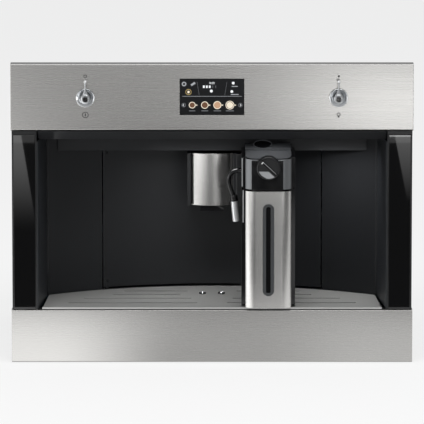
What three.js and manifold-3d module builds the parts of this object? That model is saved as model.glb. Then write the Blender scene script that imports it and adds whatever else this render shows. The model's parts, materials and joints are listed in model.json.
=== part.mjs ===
// Built-in coffee machine for a 450 mm niche, with its runners, drawer, service door,
// spring levers and docked milk jug.
// Millimetres. +X right, +Y back (depth behind the steel front plane), +Z up.
import * as THREE from 'three';
import { mergeVertices } from 'three/addons/utils/BufferGeometryUtils.js';
import Module from 'manifold-3d';

const wasm = await Module();
wasm.setup();

// ---------------------------------------------------------------- driving dimensions
const FRONT_WIDTH = 597;        // steel front, overlaps the cabinet sides
const FRONT_HEIGHT = 450;
const SIDE_OVERLAP = 20.5;      // front beyond the casing, which fits a 560 mm niche
const BODY_DEPTH = 390;
const SHEET = 1.5;              // folded steel sheet
const GAP = 0.3;                // seating and running gap between two pieces
const PANEL_DEPTH = 20;         // depth of the folded front panels
const CONTROL_HEIGHT = 100;     // upper panel
const BEVEL = 2.2;              // bright lower edge of the upper panel
const EDGE = 0.8;               // small bevel on the other panel edges
const TOP_DROP = 69;            // casing's top below the front's, out of sight behind it
const FLOOR_GAP = 0.8;          // lower panel above the niche floor
const LOWER_HEIGHT = 79;        // lower panel, the drawer's front
const SHADOW_GAP = 1.6;         // dark joint above the lower panel

const RAIL_INSET = 16;          // rail centre from the casing's side
const RAIL_WIDTH = 24;
const RAIL_HEIGHT = 11;
const RAIL_WALL = 1.6;
const RAIL_SETBACK = 4;         // rails behind the folded panels
const RAIL_LIFT = 4;            // base pan above the outer rail
const CROSSBAR = 8;

const DISPLAY_WIDTH = 95;
const DISPLAY_HEIGHT = 54;
const DISPLAY_DROP = 49;        // display's middle below the front's top
const GLASS_THICKNESS = 4;
const MODULE_DEPTH = 10;
const MODULE_RIM = 5;

const LEVER_INSET = 110.9;      // lever from the front's side
const LEVER_DROP = 50.2;        // lever below the front's top
const ROSETTE_RADIUS = 13.9;
const ROSETTE_DISH = 3.6;       // rim in front of the panel
const COLLAR_RADIUS = 10;
const COLLAR_BORE = 7.5;
const COLLAR_DEPTH = 10;
const LEVER_PIVOT = 4;          // pivot behind the front plane
const LEVER_REACH = 20.5;       // cap in front of the front plane
const HUB_RADIUS = 7.2;
const HUB_LENGTH = 7;
const STEM_RADIUS = 4.2;
const CAP_RADIUS = 4;
const TAIL_LENGTH = 25.5;       // ball centre above the hub's axis
const TAIL_BALL = 2.2;

const COLUMN_GLASS = 32.5;      // glossy strip beside the niche
const COLUMN_EDGE = 3.6;        // strip's outer edge inside the front's edge
const STILE_EDGE = 1.3;         // stile's outer edge inside the front's edge
const BEAD = 1.8;               // bead of the stile along the strip's inner edge
const STRIP_HEIGHT = 6;         // dark strip under the upper panel

const WALL_SHEET = 1;           // side walls of the niche
const WALL_RUN = 10.7;          // their run inwards over their depth
const WALL_DEPTH = 108;
const BACK_RADIUS = 440;        // concave back wall
const BACK_DEPTH = 187;         // its middle behind the front plane
const DOOR_INSET = 134;         // service door's edge from the front's side
const SEAM = 1.5;               // joint round the service door
const CORNER_SEAM = 2.6;        // joint in the niche's rear corners
const DOOR_THICKNESS = 10;
const SILL_DEPTH = 18;          // sill behind the back wall's middle
const HOOD_DEPTH = 22;          // slanted fascia, front to back
const HOOD_DROP = 16;           // slanted fascia, top to bottom
const HEADER_DEPTH = 119;
const HEADER_HEIGHT = 33;
const LAMP_LENGTH = 120;
const LAMP_WIDTH = 12;
const LAMP_THICKNESS = 2.5;

const PLATE_TOP = 82;           // cup plate
const PLATE_THICKNESS = 0.8;
const PLATE_LIP = 1.7;
const PLATE_MARGIN = 6.1;       // side gap of the cup plate at the front
const PLATE_REAR_GAP = 3;
const SLOT_WIDTH = 5.5;
const SLOT_ROWS = [             // depth, inner end, outer end's distance from the casing's side
  [47, 21.4, 62], [83, 30.2, 84.7], [112, 46.7, 127.6], [141, 36.3, 144.7],
];
const DRAIN_HOLE = { radius: 3.7, x: 14.2, depth: 118 };
const BASIN_WALL = 2.5;
const BASIN_INSET = 31.3;       // drip basin from the casing's side
const GUIDE_HEIGHT = 3;         // drawer guides on the base pan
const BIN_WIDTH = 150;
const BIN_DEPTH = 95;

const HINGE_INSET = 5;          // pin behind and inside the door's edge
const PIN_RADIUS = 3;
const PIN_LENGTH = 9;

const SPOUT_HALF = 31.2;        // steel cover of the coffee spout
const SPOUT_HEIGHT = 79;
const SPOUT_DROP = 5;           // cover's top below the header
const SPOUT_FRONT = 118;
const SPOUT_RADIUS = 60;
const SPOUT_SHEET = 1.2;
const SPOUT_BACK = 134.7;
const LIP_HALF = 17.7;          // outlet block under the cover
const LIP_DROP = 9;
const OUTLET_RADIUS = 3;
const OUTLET_SPREAD = 9;
const TONGUE_HALF = 6;
const TONGUE_DEPTH = 6;
const CHEEK = 5.3;              // dark cheeks beside the spout
const BLOCK_RIGHT = 119;        // right end of the dispensing block
const BLOCK_TOP_DEPTH = 30;     // depth of the block's top
const BLOCK_STEP = 12;          // its rear part is this much lower

const JUG_X = 83.8;
const JUG_BASE = 84;
const JUG_FRONT = -8;
const JUG_DEPTH = 123;
const JUG_HALF = 40;            // dark rear body
const SHELL_HALF = 34;          // steel front shell
const SHELL_DEPTH = 21;
const HEAD_ROOM = 74;           // shell's top below the niche ceiling
const SHELL_WALL = 1.2;
const SHELL_CORNER = 18;
const REAR_CORNER = 12;
const JUG_WALL = 2.5;
const WINDOW = { width: 16.4, bottom: 18.4, top: 18.8, slot: 7.4, proud: 0.6, recess: 1.1 };
const HEAD_SEAM = 3;
const HEAD_HEIGHT = 45.5;
const PLUG_DEPTH = 9;
const LID_FRONT = 0.9;
const LID_REAR = 7;
const LID_GROOVE = { y: 61, width: 9, depth: 3 };   // across the lid, in front of the ring
const RING = { x: -8, y: 88, outer: 14.2, inner: 13, rise: 61.8 };   // rise above the shell
const BUTTON = { radius: 12.6, height: 8.8 };
const DIAL = { x: -0.2, rise: 37, radius: 18.2, thickness: 11, grip: 2.6, ribs: 36, knurl: 0.7 };
const SPINDLE_RADIUS = 3;
const SPINDLE_LENGTH = 8;
const PORT_RADIUS = 5;
const PORT_REACH = 20;
const PORT_RISE = 25;
const MILK_TUBE = { radius: 4, y: 70, rise: 20.5, stub: 5, collar: 6.6, collarLength: 5 };
const MILK_ROUTE = [            // out of the head's side, then down: x, z from the stub
  [9, 0], [15.5, -3.5], [19, -12], [18, -24], [13, -35], [11.5, -41], [11.2, -44],
];
const MILK_NOZZLE = { radius: 5, bore: 3.2, length: 31, tilt: 5.6 };   // tilt in degrees

const SHELF_SHARE = 0.42;       // shelf's height as a share of the front's height
const TANK = { width: 97, depth: 150, headroom: 5.2, wall: 2.5, plinth: 4, window: 2 };
const HOPPER = { inset: 148, behind: 3, width: 140, depth: 150, height: 92, wall: 2.5, outlet: 15 };
const LID_OVERLAP = 4;
const LID_THICKNESS = 4;
const GRINDER_RADIUS = 42;
const BREW = { width: 90, depth: 85, bottom: 90, rear: 10 };
const THERMO = { x: -105, width: 90, depth: 75, height: 70, pipe: 5 };
const PUMP = { x: 20, radius: 22, length: 90 };
const BOARD = { inset: 20, depth: 120, headroom: 14, bottom: 90, thickness: 2, post: 3 };
const INLET = { inset: 78, z: 60, width: 50, height: 28, body: 27, tall: 20, depth: 18, flange: 2 };
const BLADE = { half: 1, long: 4 };
const VENT = { width: 4, height: 60, pitch: 12, count: 10, drop: 118 };
const TANK_SETBACK = 2;         // behind the sill
const BRACKET = { x: 165, width: 30, drop: 8 };   // fascia brackets on the casing's top
const SEAL_GROOVE = { width: 2, depth: 1.2 };   // round the casing, in the back of the front frame

// ---------------------------------------------------------------- derived places
const FRONT_HALF = FRONT_WIDTH / 2;
const BODY_HALF = FRONT_HALF - SIDE_OVERLAP;
const TOP_Z = FRONT_HEIGHT - TOP_DROP;
const BASE_Z = RAIL_HEIGHT + RAIL_LIFT;
const PAN_TOP = BASE_Z + SHEET;
const CASE_FRONT = PANEL_DEPTH + GAP;
const CASE_REAR = BODY_DEPTH - SHEET - GAP;
const INNER_HALF = BODY_HALF - SHEET - GAP;
const RAIL_X = BODY_HALF - RAIL_INSET;
const RAIL_FRONT = PANEL_DEPTH + RAIL_SETBACK;
const RAIL_REAR = BODY_DEPTH - CROSSBAR - RAIL_SETBACK;
const CONTROL_BOTTOM = FRONT_HEIGHT - CONTROL_HEIGHT;
const LOWER_TOP = FLOOR_GAP + LOWER_HEIGHT;
const NICHE_BOTTOM = LOWER_TOP + SHADOW_GAP;
const COLUMN_OUTER = FRONT_HALF - COLUMN_EDGE;
const COLUMN_INNER = COLUMN_OUTER - COLUMN_GLASS;
const COLUMN_TOP = CONTROL_BOTTOM - STRIP_HEIGHT;
const WALL_FRONT = COLUMN_INNER - BEAD - 2 * GAP - WALL_SHEET;
const CEILING_Z = CONTROL_BOTTOM - HOOD_DROP;
const ARC_CENTRE = BACK_DEPTH - BACK_RADIUS;
const DOOR_HALF = FRONT_HALF - DOOR_INSET;
const SILL_TOP = PLATE_TOP;
const SILL_REAR = BACK_DEPTH + SILL_DEPTH;
const HEADER_BOTTOM = CEILING_Z - HEADER_HEIGHT;
const DOOR_BOTTOM = SILL_TOP + 2 * SEAM;
const DOOR_TOP = HEADER_BOTTOM - SEAM;
const FRONT_REACH = Math.max(LEVER_REACH, DIAL.thickness + GAP + DIAL.grip - JUG_FRONT);
const REAR_MOST = BODY_DEPTH + GAP + INLET.flange;
const DISPLAY_Z = FRONT_HEIGHT - DISPLAY_DROP;
const LEVER_X = FRONT_HALF - LEVER_INSET;
const LEVER_Z = FRONT_HEIGHT - LEVER_DROP;
const BASIN_HALF = BODY_HALF - BASIN_INSET;
const SPOUT_TOP = HEADER_BOTTOM - SPOUT_DROP;
const SPOUT_BOTTOM = SPOUT_TOP - SPOUT_HEIGHT;
const SHELL_HEIGHT = CEILING_Z - JUG_BASE - HEAD_ROOM;
const HEAD_BOTTOM = SHELL_HEIGHT + HEAD_SEAM;
const RING_TOP = SHELL_HEIGHT + RING.rise;
const DIAL_Z = SHELL_HEIGHT + DIAL.rise;
const PORT_Z = SHELL_HEIGHT + PORT_RISE;
const MILK_Z = SHELL_HEIGHT + MILK_TUBE.rise;
const SHELF_Z = FRONT_HEIGHT * SHELF_SHARE;
const HOPPER_X = BODY_HALF - HOPPER.inset;
const HOPPER_BOTTOM = TOP_Z - HOPPER.height;
const INLET_X = BODY_HALF - INLET.inset;
const TANK_FRONT = SILL_REAR + TANK_SETBACK;
const HOPPER_Y = SILL_REAR + HOPPER.behind + HOPPER.depth / 2;
const HINGE_X = HINGE_INSET - DOOR_HALF;
const HINGE_Y = arcDepth(DOOR_HALF) + HINGE_INSET;

/** Depth of the concave back wall's face at a distance x from the middle. */
function arcDepth(x, behind = 0) {
  return ARC_CENTRE + Math.sqrt((BACK_RADIUS + behind) ** 2 - x ** 2);
}

/** Distance from the middle of a niche side wall's inner face at a given depth. */
function wallAt(depth) {
  return WALL_FRONT - (WALL_RUN * depth) / WALL_DEPTH;
}

// ---------------------------------------------------------------- finishes
const finish = (color, roughness, metalness) =>
  new THREE.MeshStandardMaterial({ color, roughness, metalness });
const STEEL = finish(0xa9aaab, 0.32, 1);
const CHROME = finish(0xd8dadc, 0.08, 1);
const ZINC = finish(0x9a9fa3, 0.45, 0.9);
const GLOSS_BLACK = finish(0x0b0b0d, 0.08, 0);
const BLACK = finish(0x17181a, 0.45, 0);
const SILVER = finish(0xa6a8aa, 0.4, 0.6);
const GREY = finish(0x55585b, 0.5, 0.2);
const CLEAR = finish(0xc9d6dc, 0.1, 0);
const BOARD_GREEN = finish(0x24563b, 0.6, 0);
const CAST = finish(0x8f9294, 0.55, 0.9);

// ---------------------------------------------------------------- solids
/** Merge shared vertices, drop empty triangles and turn all faces outwards. */
function closed(geometry) {
  const bare = geometry.index ? geometry.toNonIndexed() : geometry.clone();
  bare.deleteAttribute('normal');
  bare.deleteAttribute('uv');
  const merged = mergeVertices(bare, 1e-4);
  const index = merged.index.array;
  const p = merged.attributes.position;
  const kept = [];
  let volume = 0;
  const [a, b, c] = [new THREE.Vector3(), new THREE.Vector3(), new THREE.Vector3()];
  for (let i = 0; i < index.length; i += 3) {
    const [u, v, w] = [index[i], index[i + 1], index[i + 2]];
    if (u === v || v === w || w === u) continue;
    kept.push(u, v, w);
    a.fromBufferAttribute(p, u);
    b.fromBufferAttribute(p, v);
    c.fromBufferAttribute(p, w);
    volume += a.dot(b.cross(c));
  }
  if (volume < 0) kept.reverse();
  merged.setIndex(kept);
  return merged;
}

/** A closed geometry as a solid for cutting and joining. */
function solid(geometry) {
  const ready = closed(geometry);
  return new wasm.Manifold(new wasm.Mesh({
    numProp: 3,
    vertProperties: new Float32Array(ready.attributes.position.array),
    triVerts: new Uint32Array(ready.index.array),
  }));
}

/** A solid as a geometry with its own normals. */
function geometryOf(manifold) {
  const mesh = manifold.getMesh();
  const geometry = new THREE.BufferGeometry();
  const points = new Float32Array(mesh.vertProperties);
  geometry.setAttribute('position', new THREE.BufferAttribute(points, 3));
  geometry.setIndex([...mesh.triVerts]);
  geometry.computeVertexNormals();
  return geometry;
}

const cut = (base, ...tools) => tools.reduce((left, tool) => left.subtract(solid(tool)), base);
const join = (first, ...rest) => rest.reduce((left, piece) => left.add(solid(piece)), solid(first));

function add(group, name, material, shape) {
  const geometry = shape instanceof THREE.BufferGeometry ? closed(shape) : geometryOf(shape);
  geometry.computeVertexNormals();
  const mesh = new THREE.Mesh(geometry, material);
  mesh.name = name;
  group.add(mesh);
  return mesh;
}

function box(x, y, z) {
  const geometry = new THREE.BoxGeometry(x[1] - x[0], y[1] - y[0], z[1] - z[0]);
  return geometry.translate((x[0] + x[1]) / 2, (y[0] + y[1]) / 2, (z[0] + z[1]) / 2);
}

const outline = (points) => new THREE.Shape(points.map(([u, v]) => new THREE.Vector2(u, v)));
const prism = (shape, depth, curveSegments = 8) =>
  new THREE.ExtrudeGeometry(shape, { depth, bevelEnabled: false, curveSegments });

/** An outline in X and Y, raised from z0 to z1. */
const upright = (shape, z, segments) => prism(shape, z[1] - z[0], segments).translate(0, 0, z[0]);
/** An outline in Y and Z, run along X. */
const alongX = (shape, x) =>
  prism(shape, x[1] - x[0]).applyMatrix4(new THREE.Matrix4().makeBasis(
    new THREE.Vector3(0, 1, 0), new THREE.Vector3(0, 0, 1), new THREE.Vector3(1, 0, 0),
  )).translate(x[0], 0, 0);
/** An outline in X and Z, run along Y. */
const alongY = (shape, y, segments) =>
  prism(shape, y[1] - y[0], segments).rotateX(Math.PI / 2).translate(0, y[1], 0);

/** A cylinder between two values of one axis. */
function rod(axis, radius, from, to, centre, segments = 32) {
  const geometry = new THREE.CylinderGeometry(radius, radius, to - from, segments);
  const middle = (from + to) / 2;
  if (axis === 'x') return geometry.rotateZ(Math.PI / 2).translate(middle, centre[0], centre[1]);
  if (axis === 'y') return geometry.translate(centre[0], middle, centre[1]);
  return geometry.rotateX(Math.PI / 2).translate(centre[0], centre[1], middle);
}

/** A turned piece about the Y axis, from points of radius and depth. */
function turned(points, segments = 40) {
  return new THREE.LatheGeometry(points.map(([r, y]) => new THREE.Vector2(r, y)), segments);
}

/** Points on the back wall's curve from x0 to x1, at a distance behind its face. */
function backCurve(x0, x1, behind, steps) {
  return Array.from({ length: steps + 1 }, (_, i) => {
    const x = x0 + ((x1 - x0) * i) / steps;
    return [x, arcDepth(x, behind)];
  });
}

/** A rounded slot or window as a shape or hole, centred on cx and cy. */
function slotShape(cx, cy, width, height, radius) {
  const shape = new THREE.Shape();
  const [w, h, r] = [width / 2, height / 2, Math.min(radius, width / 2, height / 2)];
  shape.moveTo(cx - w + r, cy - h);
  shape.lineTo(cx + w - r, cy - h);
  shape.absarc(cx + w - r, cy - h + r, r, -Math.PI / 2, 0);
  shape.lineTo(cx + w, cy + h - r);
  shape.absarc(cx + w - r, cy + h - r, r, 0, Math.PI / 2);
  shape.lineTo(cx - w + r, cy + h);
  shape.absarc(cx - w + r, cy + h - r, r, Math.PI / 2, Math.PI);
  shape.lineTo(cx - w, cy - h + r);
  shape.absarc(cx - w + r, cy - h + r, r, Math.PI, 1.5 * Math.PI);
  return shape;
}

const sides = [['left', -1], ['right', 1]];
/** Two values mirrored with their side, in rising order. */
const span = (side, from, to) => (side > 0 ? [from, to] : [-to, -from]);

// ---------------------------------------------------------------- runners
function channel(width, bottom, top, wall) {
  const half = width / 2;
  return outline([
    [-half, bottom], [half, bottom], [half, top], [half - wall, top],
    [half - wall, bottom + wall], [wall - half, bottom + wall], [wall - half, top], [-half, top],
  ]);
}

function runners(fixed, middle, carried) {
  const step = RAIL_WALL + GAP;
  for (const [side, sign] of sides) {
    const outer = alongY(channel(RAIL_WIDTH, 0, RAIL_HEIGHT, RAIL_WALL), [RAIL_FRONT, RAIL_REAR]);
    add(fixed, `rail_outer_${side}`, ZINC, outer).position.x = sign * RAIL_X;
    const profile = channel(RAIL_WIDTH - 2 * step, step, RAIL_HEIGHT, RAIL_WALL);
    const nested = alongY(profile, [RAIL_FRONT, RAIL_REAR]);
    add(middle, `rail_middle_${side}`, ZINC, nested).position.x = sign * RAIL_X;
    const half = RAIL_WIDTH / 2 - 2 * step;
    const bar = box([-half, half], [RAIL_FRONT, RAIL_REAR], [2 * step, BASE_Z - GAP]);
    add(carried, `rail_inner_${side}`, ZINC, bar).position.x = sign * RAIL_X;
  }
  const reach = RAIL_X + RAIL_WIDTH / 2;
  const bar = box([-reach, reach], [RAIL_REAR + GAP, RAIL_REAR + GAP + CROSSBAR], [0, 2 * RAIL_WALL]);
  add(fixed, 'rail_crossbar', ZINC, bar);
}

// ---------------------------------------------------------------- casing
function casing(group) {
  const tank = tankPlace();
  const basin = BASIN_HALF + GAP;
  const rear = SILL_REAR - GAP;
  const ribs = sides.map(([, sign]) => box(
    span(sign, basin, basin + SHEET), [CASE_FRONT, rear], [BASE_Z, PAN_TOP + GUIDE_HEIGHT],
  ));
  const pan = join(
    box([-INNER_HALF, INNER_HALF], [CASE_FRONT, CASE_REAR], [BASE_Z, PAN_TOP]),
    ...ribs,
    box(tank.x, tank.y, [BASE_Z, PAN_TOP + TANK.plinth]),
  );
  add(group, 'base_pan', ZINC, pan);

  for (const [side, sign] of sides) {
    const x = span(sign, BODY_HALF - SHEET, BODY_HALF);
    const plate = box(x, [CASE_FRONT, CASE_REAR], [BASE_Z, TOP_Z]);
    const slack = TANK.window;
    const hole = box(
      [x[0] - 1, x[1] + 1], [tank.y[0] - slack, tank.y[1] + slack],
      [PAN_TOP + TANK.plinth - slack, tank.top + slack],
    );
    add(group, `side_panel_${side}`, ZINC, sign < 0 ? cut(solid(plate), hole) : plate);
  }

  const mouth = hopperPlace();
  const top = box([-INNER_HALF, INNER_HALF], [CASE_FRONT, CASE_REAR], [TOP_Z - SHEET, TOP_Z]);
  const brackets = sides.map(([, sign]) => box(
    span(sign, BRACKET.x, BRACKET.x + BRACKET.width), [CASE_FRONT, CASE_FRONT + SHEET],
    [TOP_Z - SHEET, FRONT_HEIGHT - BRACKET.drop],
  ));
  const opening = box(mouth.inX, mouth.inY, [TOP_Z - SHEET - 1, TOP_Z + 1]);
  add(group, 'top_cover', ZINC, cut(join(top, ...brackets), opening));

  const y = [BODY_DEPTH - SHEET, BODY_DEPTH];
  const through = [y[0] - 1, y[1] + 1];
  const vents = Array.from({ length: VENT.count }, (_, i) => {
    const x = (i - (VENT.count - 1) / 2) * VENT.pitch;
    return alongY(slotShape(x, TOP_Z - VENT.drop, VENT.width, VENT.height, VENT.width / 2), through, 3);
  });
  const socket = box(
    [INLET_X - INLET.body / 2 - GAP, INLET_X + INLET.body / 2 + GAP], through,
    [INLET.z - INLET.tall / 2 - GAP, INLET.z + INLET.tall / 2 + GAP],
  );
  const rearPlate = solid(box([-BODY_HALF, BODY_HALF], y, [BASE_Z, TOP_Z]));
  add(group, 'rear_panel', ZINC, cut(rearPlate, socket, ...vents));

  const room = [SILL_REAR + 1, CASE_REAR];
  const chute = rod('z', HOPPER.outlet, SHELF_Z - 1, SHELF_Z + SHEET + 1, [HOPPER_X, HOPPER_Y]);
  const shelf = box([-INNER_HALF, INNER_HALF], room, [SHELF_Z, SHELF_Z + SHEET]);
  add(group, 'inner_shelf', ZINC, cut(solid(shelf), chute));
}

// ---------------------------------------------------------------- front
/** A folded steel front, open at the back. */
function foldedPanel(bottom, top, lowerBevel) {
  const face = alongX(outline([
    [0, bottom + lowerBevel], [lowerBevel, bottom], [PANEL_DEPTH, bottom],
    [PANEL_DEPTH, top], [EDGE, top], [0, top - EDGE],
  ]), [-FRONT_HALF, FRONT_HALF]);
  const inside = box(
    [SHEET - FRONT_HALF, FRONT_HALF - SHEET], [SHEET, PANEL_DEPTH + 1], [bottom + SHEET, top - SHEET],
  );
  return cut(solid(face), inside);
}

function controlFront(group) {
  const wide = DISPLAY_WIDTH / 2;
  const tall = DISPLAY_HEIGHT / 2;
  const window = box(
    [-wide - GAP, wide + GAP], [-1, SHEET + 1], [DISPLAY_Z - tall - GAP, DISPLAY_Z + tall + GAP],
  );
  const holes = sides.map(([, sign]) =>
    rod('y', COLLAR_RADIUS + GAP, -1, SHEET + 1, [sign * LEVER_X, LEVER_Z]));
  const panel = foldedPanel(CONTROL_BOTTOM, FRONT_HEIGHT, BEVEL);
  add(group, 'control_panel', STEEL, cut(panel, window, ...holes));
  const glass = box([-wide, wide], [0, GLASS_THICKNESS], [-tall, tall]);
  add(group, 'display_glass', GLOSS_BLACK, glass).position.z = DISPLAY_Z;

  const back = GLASS_THICKNESS + GAP;
  const module = join(
    box([-wide - MODULE_RIM, wide + MODULE_RIM], [back, back + MODULE_DEPTH],
      [-tall - MODULE_RIM, tall + MODULE_RIM]),
    box([-wide * 2, wide * 2], [back + MODULE_DEPTH - SHEET, back + MODULE_DEPTH], [-tall, tall]),
  );
  add(group, 'display_module', BLACK, module).position.z = DISPLAY_Z;

  for (const [side, sign] of sides) {
    const ring = turned([
      [COLLAR_BORE, -ROSETTE_DISH / 3], [ROSETTE_RADIUS - 1.2, -ROSETTE_DISH],
      [ROSETTE_RADIUS, -ROSETTE_DISH * 0.7], [ROSETTE_RADIUS, -GAP], [COLLAR_RADIUS, -GAP],
      [COLLAR_RADIUS, COLLAR_DEPTH], [COLLAR_BORE, COLLAR_DEPTH], [COLLAR_BORE, -ROSETTE_DISH / 3],
    ]);
    add(group, `rosette_${side}`, CHROME, ring).position.set(sign * LEVER_X, 0, LEVER_Z);
  }
}

/** A sprung lever: its group's origin is the pivot. */
function lever(side) {
  const group = new THREE.Group();
  const tip = -(LEVER_REACH + LEVER_PIVOT);
  const hubFront = tip + LEVER_REACH / 3;
  const hubRear = hubFront + HUB_LENGTH;
  const knob = turned([
    [0, LEVER_PIVOT], [STEM_RADIUS, LEVER_PIVOT], [STEM_RADIUS, hubRear],
    [HUB_RADIUS, hubRear - 0.6], [HUB_RADIUS, hubFront + 1.4], [HUB_RADIUS - 1.2, hubFront],
    [CAP_RADIUS, hubFront - 0.4], [CAP_RADIUS, tip + 1], [CAP_RADIUS - 1, tip], [0, tip],
  ], 32);
  const middle = (hubFront + hubRear) / 2;
  const tail = new THREE.CylinderGeometry(TAIL_BALL * 0.45, TAIL_BALL * 0.8, TAIL_LENGTH - CAP_RADIUS, 12)
    .rotateX(Math.PI / 2).translate(0, middle, (TAIL_LENGTH + CAP_RADIUS) / 2);
  const ball = new THREE.SphereGeometry(TAIL_BALL, 14, 10).translate(0, middle, TAIL_LENGTH);
  const reach = COLLAR_BORE - GAP;
  const pin = rod('x', SHEET, -reach, reach, [0, 0], 16);
  add(group, `lever_${side}`, CHROME, join(knob, tail, ball, pin));
  return group;
}

function columns(group) {
  const bottom = NICHE_BOTTOM - SHADOW_GAP / 2;
  const top = CONTROL_BOTTOM - GAP;
  for (const [side, sign] of sides) {
    const edge = COLUMN_INNER - GAP;
    const x = span(sign, edge - BEAD, FRONT_HALF - STILE_EDGE);
    const back = GLASS_THICKNESS + GAP;
    const stile = alongX(outline([
      [back, bottom], [PANEL_DEPTH, bottom], [PANEL_DEPTH, top], [1, top], [1, COLUMN_TOP + GAP],
      [back, COLUMN_TOP + GAP],
    ]), x);
    const seal = BODY_HALF + GAP;
    const groove = box(
      span(sign, seal, seal + SEAL_GROOVE.width), [PANEL_DEPTH - SEAL_GROOVE.depth, PANEL_DEPTH + 1],
      [bottom - 1, top + 1],
    );
    const bead = box(span(sign, edge - BEAD, edge), [0, back + 1], [bottom, COLUMN_TOP]);
    add(group, `frame_stile_${side}`, BLACK, cut(join(stile, bead), groove));
    const wide = span(sign, COLUMN_INNER, COLUMN_OUTER);
    const pane = box(wide, [0, GLASS_THICKNESS], [NICHE_BOTTOM, COLUMN_TOP]);
    add(group, `column_glass_${side}`, GLOSS_BLACK, pane);
  }
}

// ---------------------------------------------------------------- niche
function niche(group) {
  const top = CEILING_Z - GAP;
  const wallEnd = wallAt(WALL_DEPTH);
  for (const [side, sign] of sides) {
    const wall = outline([
      [sign * wallAt(0), GAP], [sign * (wallAt(0) + WALL_SHEET), GAP],
      [sign * (wallEnd + WALL_SHEET), WALL_DEPTH], [sign * wallEnd, WALL_DEPTH],
    ]);
    add(group, `niche_wall_${side}`, GREY, upright(wall, [NICHE_BOTTOM, top]));

    const inner = DOOR_HALF + SEAM;
    const outer = wallEnd - CORNER_SEAM;
    const flange = arcDepth(outer);
    const curved = [
      ...backCurve(inner, outer, 0, 6), [INNER_HALF, flange], [INNER_HALF, flange + SHEET],
      ...backCurve(outer, inner, SHEET, 6),
    ].map(([x, y]) => [sign * x, y]);
    add(group, `back_wall_${side}`, GREY, upright(outline(curved), [SILL_TOP + GAP, top]));
  }

  const hood = outline([
    [GAP, CONTROL_BOTTOM - GAP], [HOOD_DEPTH, CEILING_Z], [HEADER_DEPTH + SHEET, CEILING_Z],
    [HEADER_DEPTH + SHEET, CEILING_Z + SHEET], [HOOD_DEPTH + SHEET / 2, CEILING_Z + SHEET],
    [2 * SHEET, CONTROL_BOTTOM - GAP],
  ]);
  add(group, 'hood_shell', GREY, alongX(hood, [-WALL_FRONT, WALL_FRONT]));
  const lamp = box(
    [-LAMP_LENGTH / 2, LAMP_LENGTH / 2], [HOOD_DEPTH * 2, HOOD_DEPTH * 2 + LAMP_WIDTH],
    [-LAMP_THICKNESS, 0],
  );
  add(group, 'hood_lamp', CLEAR, lamp).position.z = top;

  const headerHalf = Math.sqrt(BACK_RADIUS ** 2 - (HEADER_DEPTH + SHEET + GAP - ARC_CENTRE) ** 2);
  const header = join(
    box([-headerHalf, headerHalf], [HEADER_DEPTH, HEADER_DEPTH + SHEET], [HEADER_BOTTOM, top]),
    box([-DOOR_HALF, DOOR_HALF], [HEADER_DEPTH, SILL_REAR], [HEADER_BOTTOM, HEADER_BOTTOM + SHEET]),
    rod('z', PIN_RADIUS, DOOR_TOP - PIN_LENGTH, HEADER_BOTTOM + SHEET / 2, [HINGE_X, HINGE_Y], 24),
  );
  add(group, 'header_panel', GREY, header);

  const corner = wallEnd - CORNER_SEAM;
  const ledge = upright(outline([
    [-INNER_HALF, arcDepth(corner)], ...backCurve(-corner, corner, 0, 28), [INNER_HALF, arcDepth(corner)],
    [INNER_HALF, SILL_REAR], [-INNER_HALF, SILL_REAR],
  ]), [SILL_TOP - SHEET, SILL_TOP]);
  const foot = SILL_TOP - SHEET / 2;
  const pin = rod('z', PIN_RADIUS, foot, DOOR_BOTTOM + PIN_LENGTH, [HINGE_X, HINGE_Y], 24);
  add(group, 'door_sill', ZINC, join(ledge, pin));
}

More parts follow.
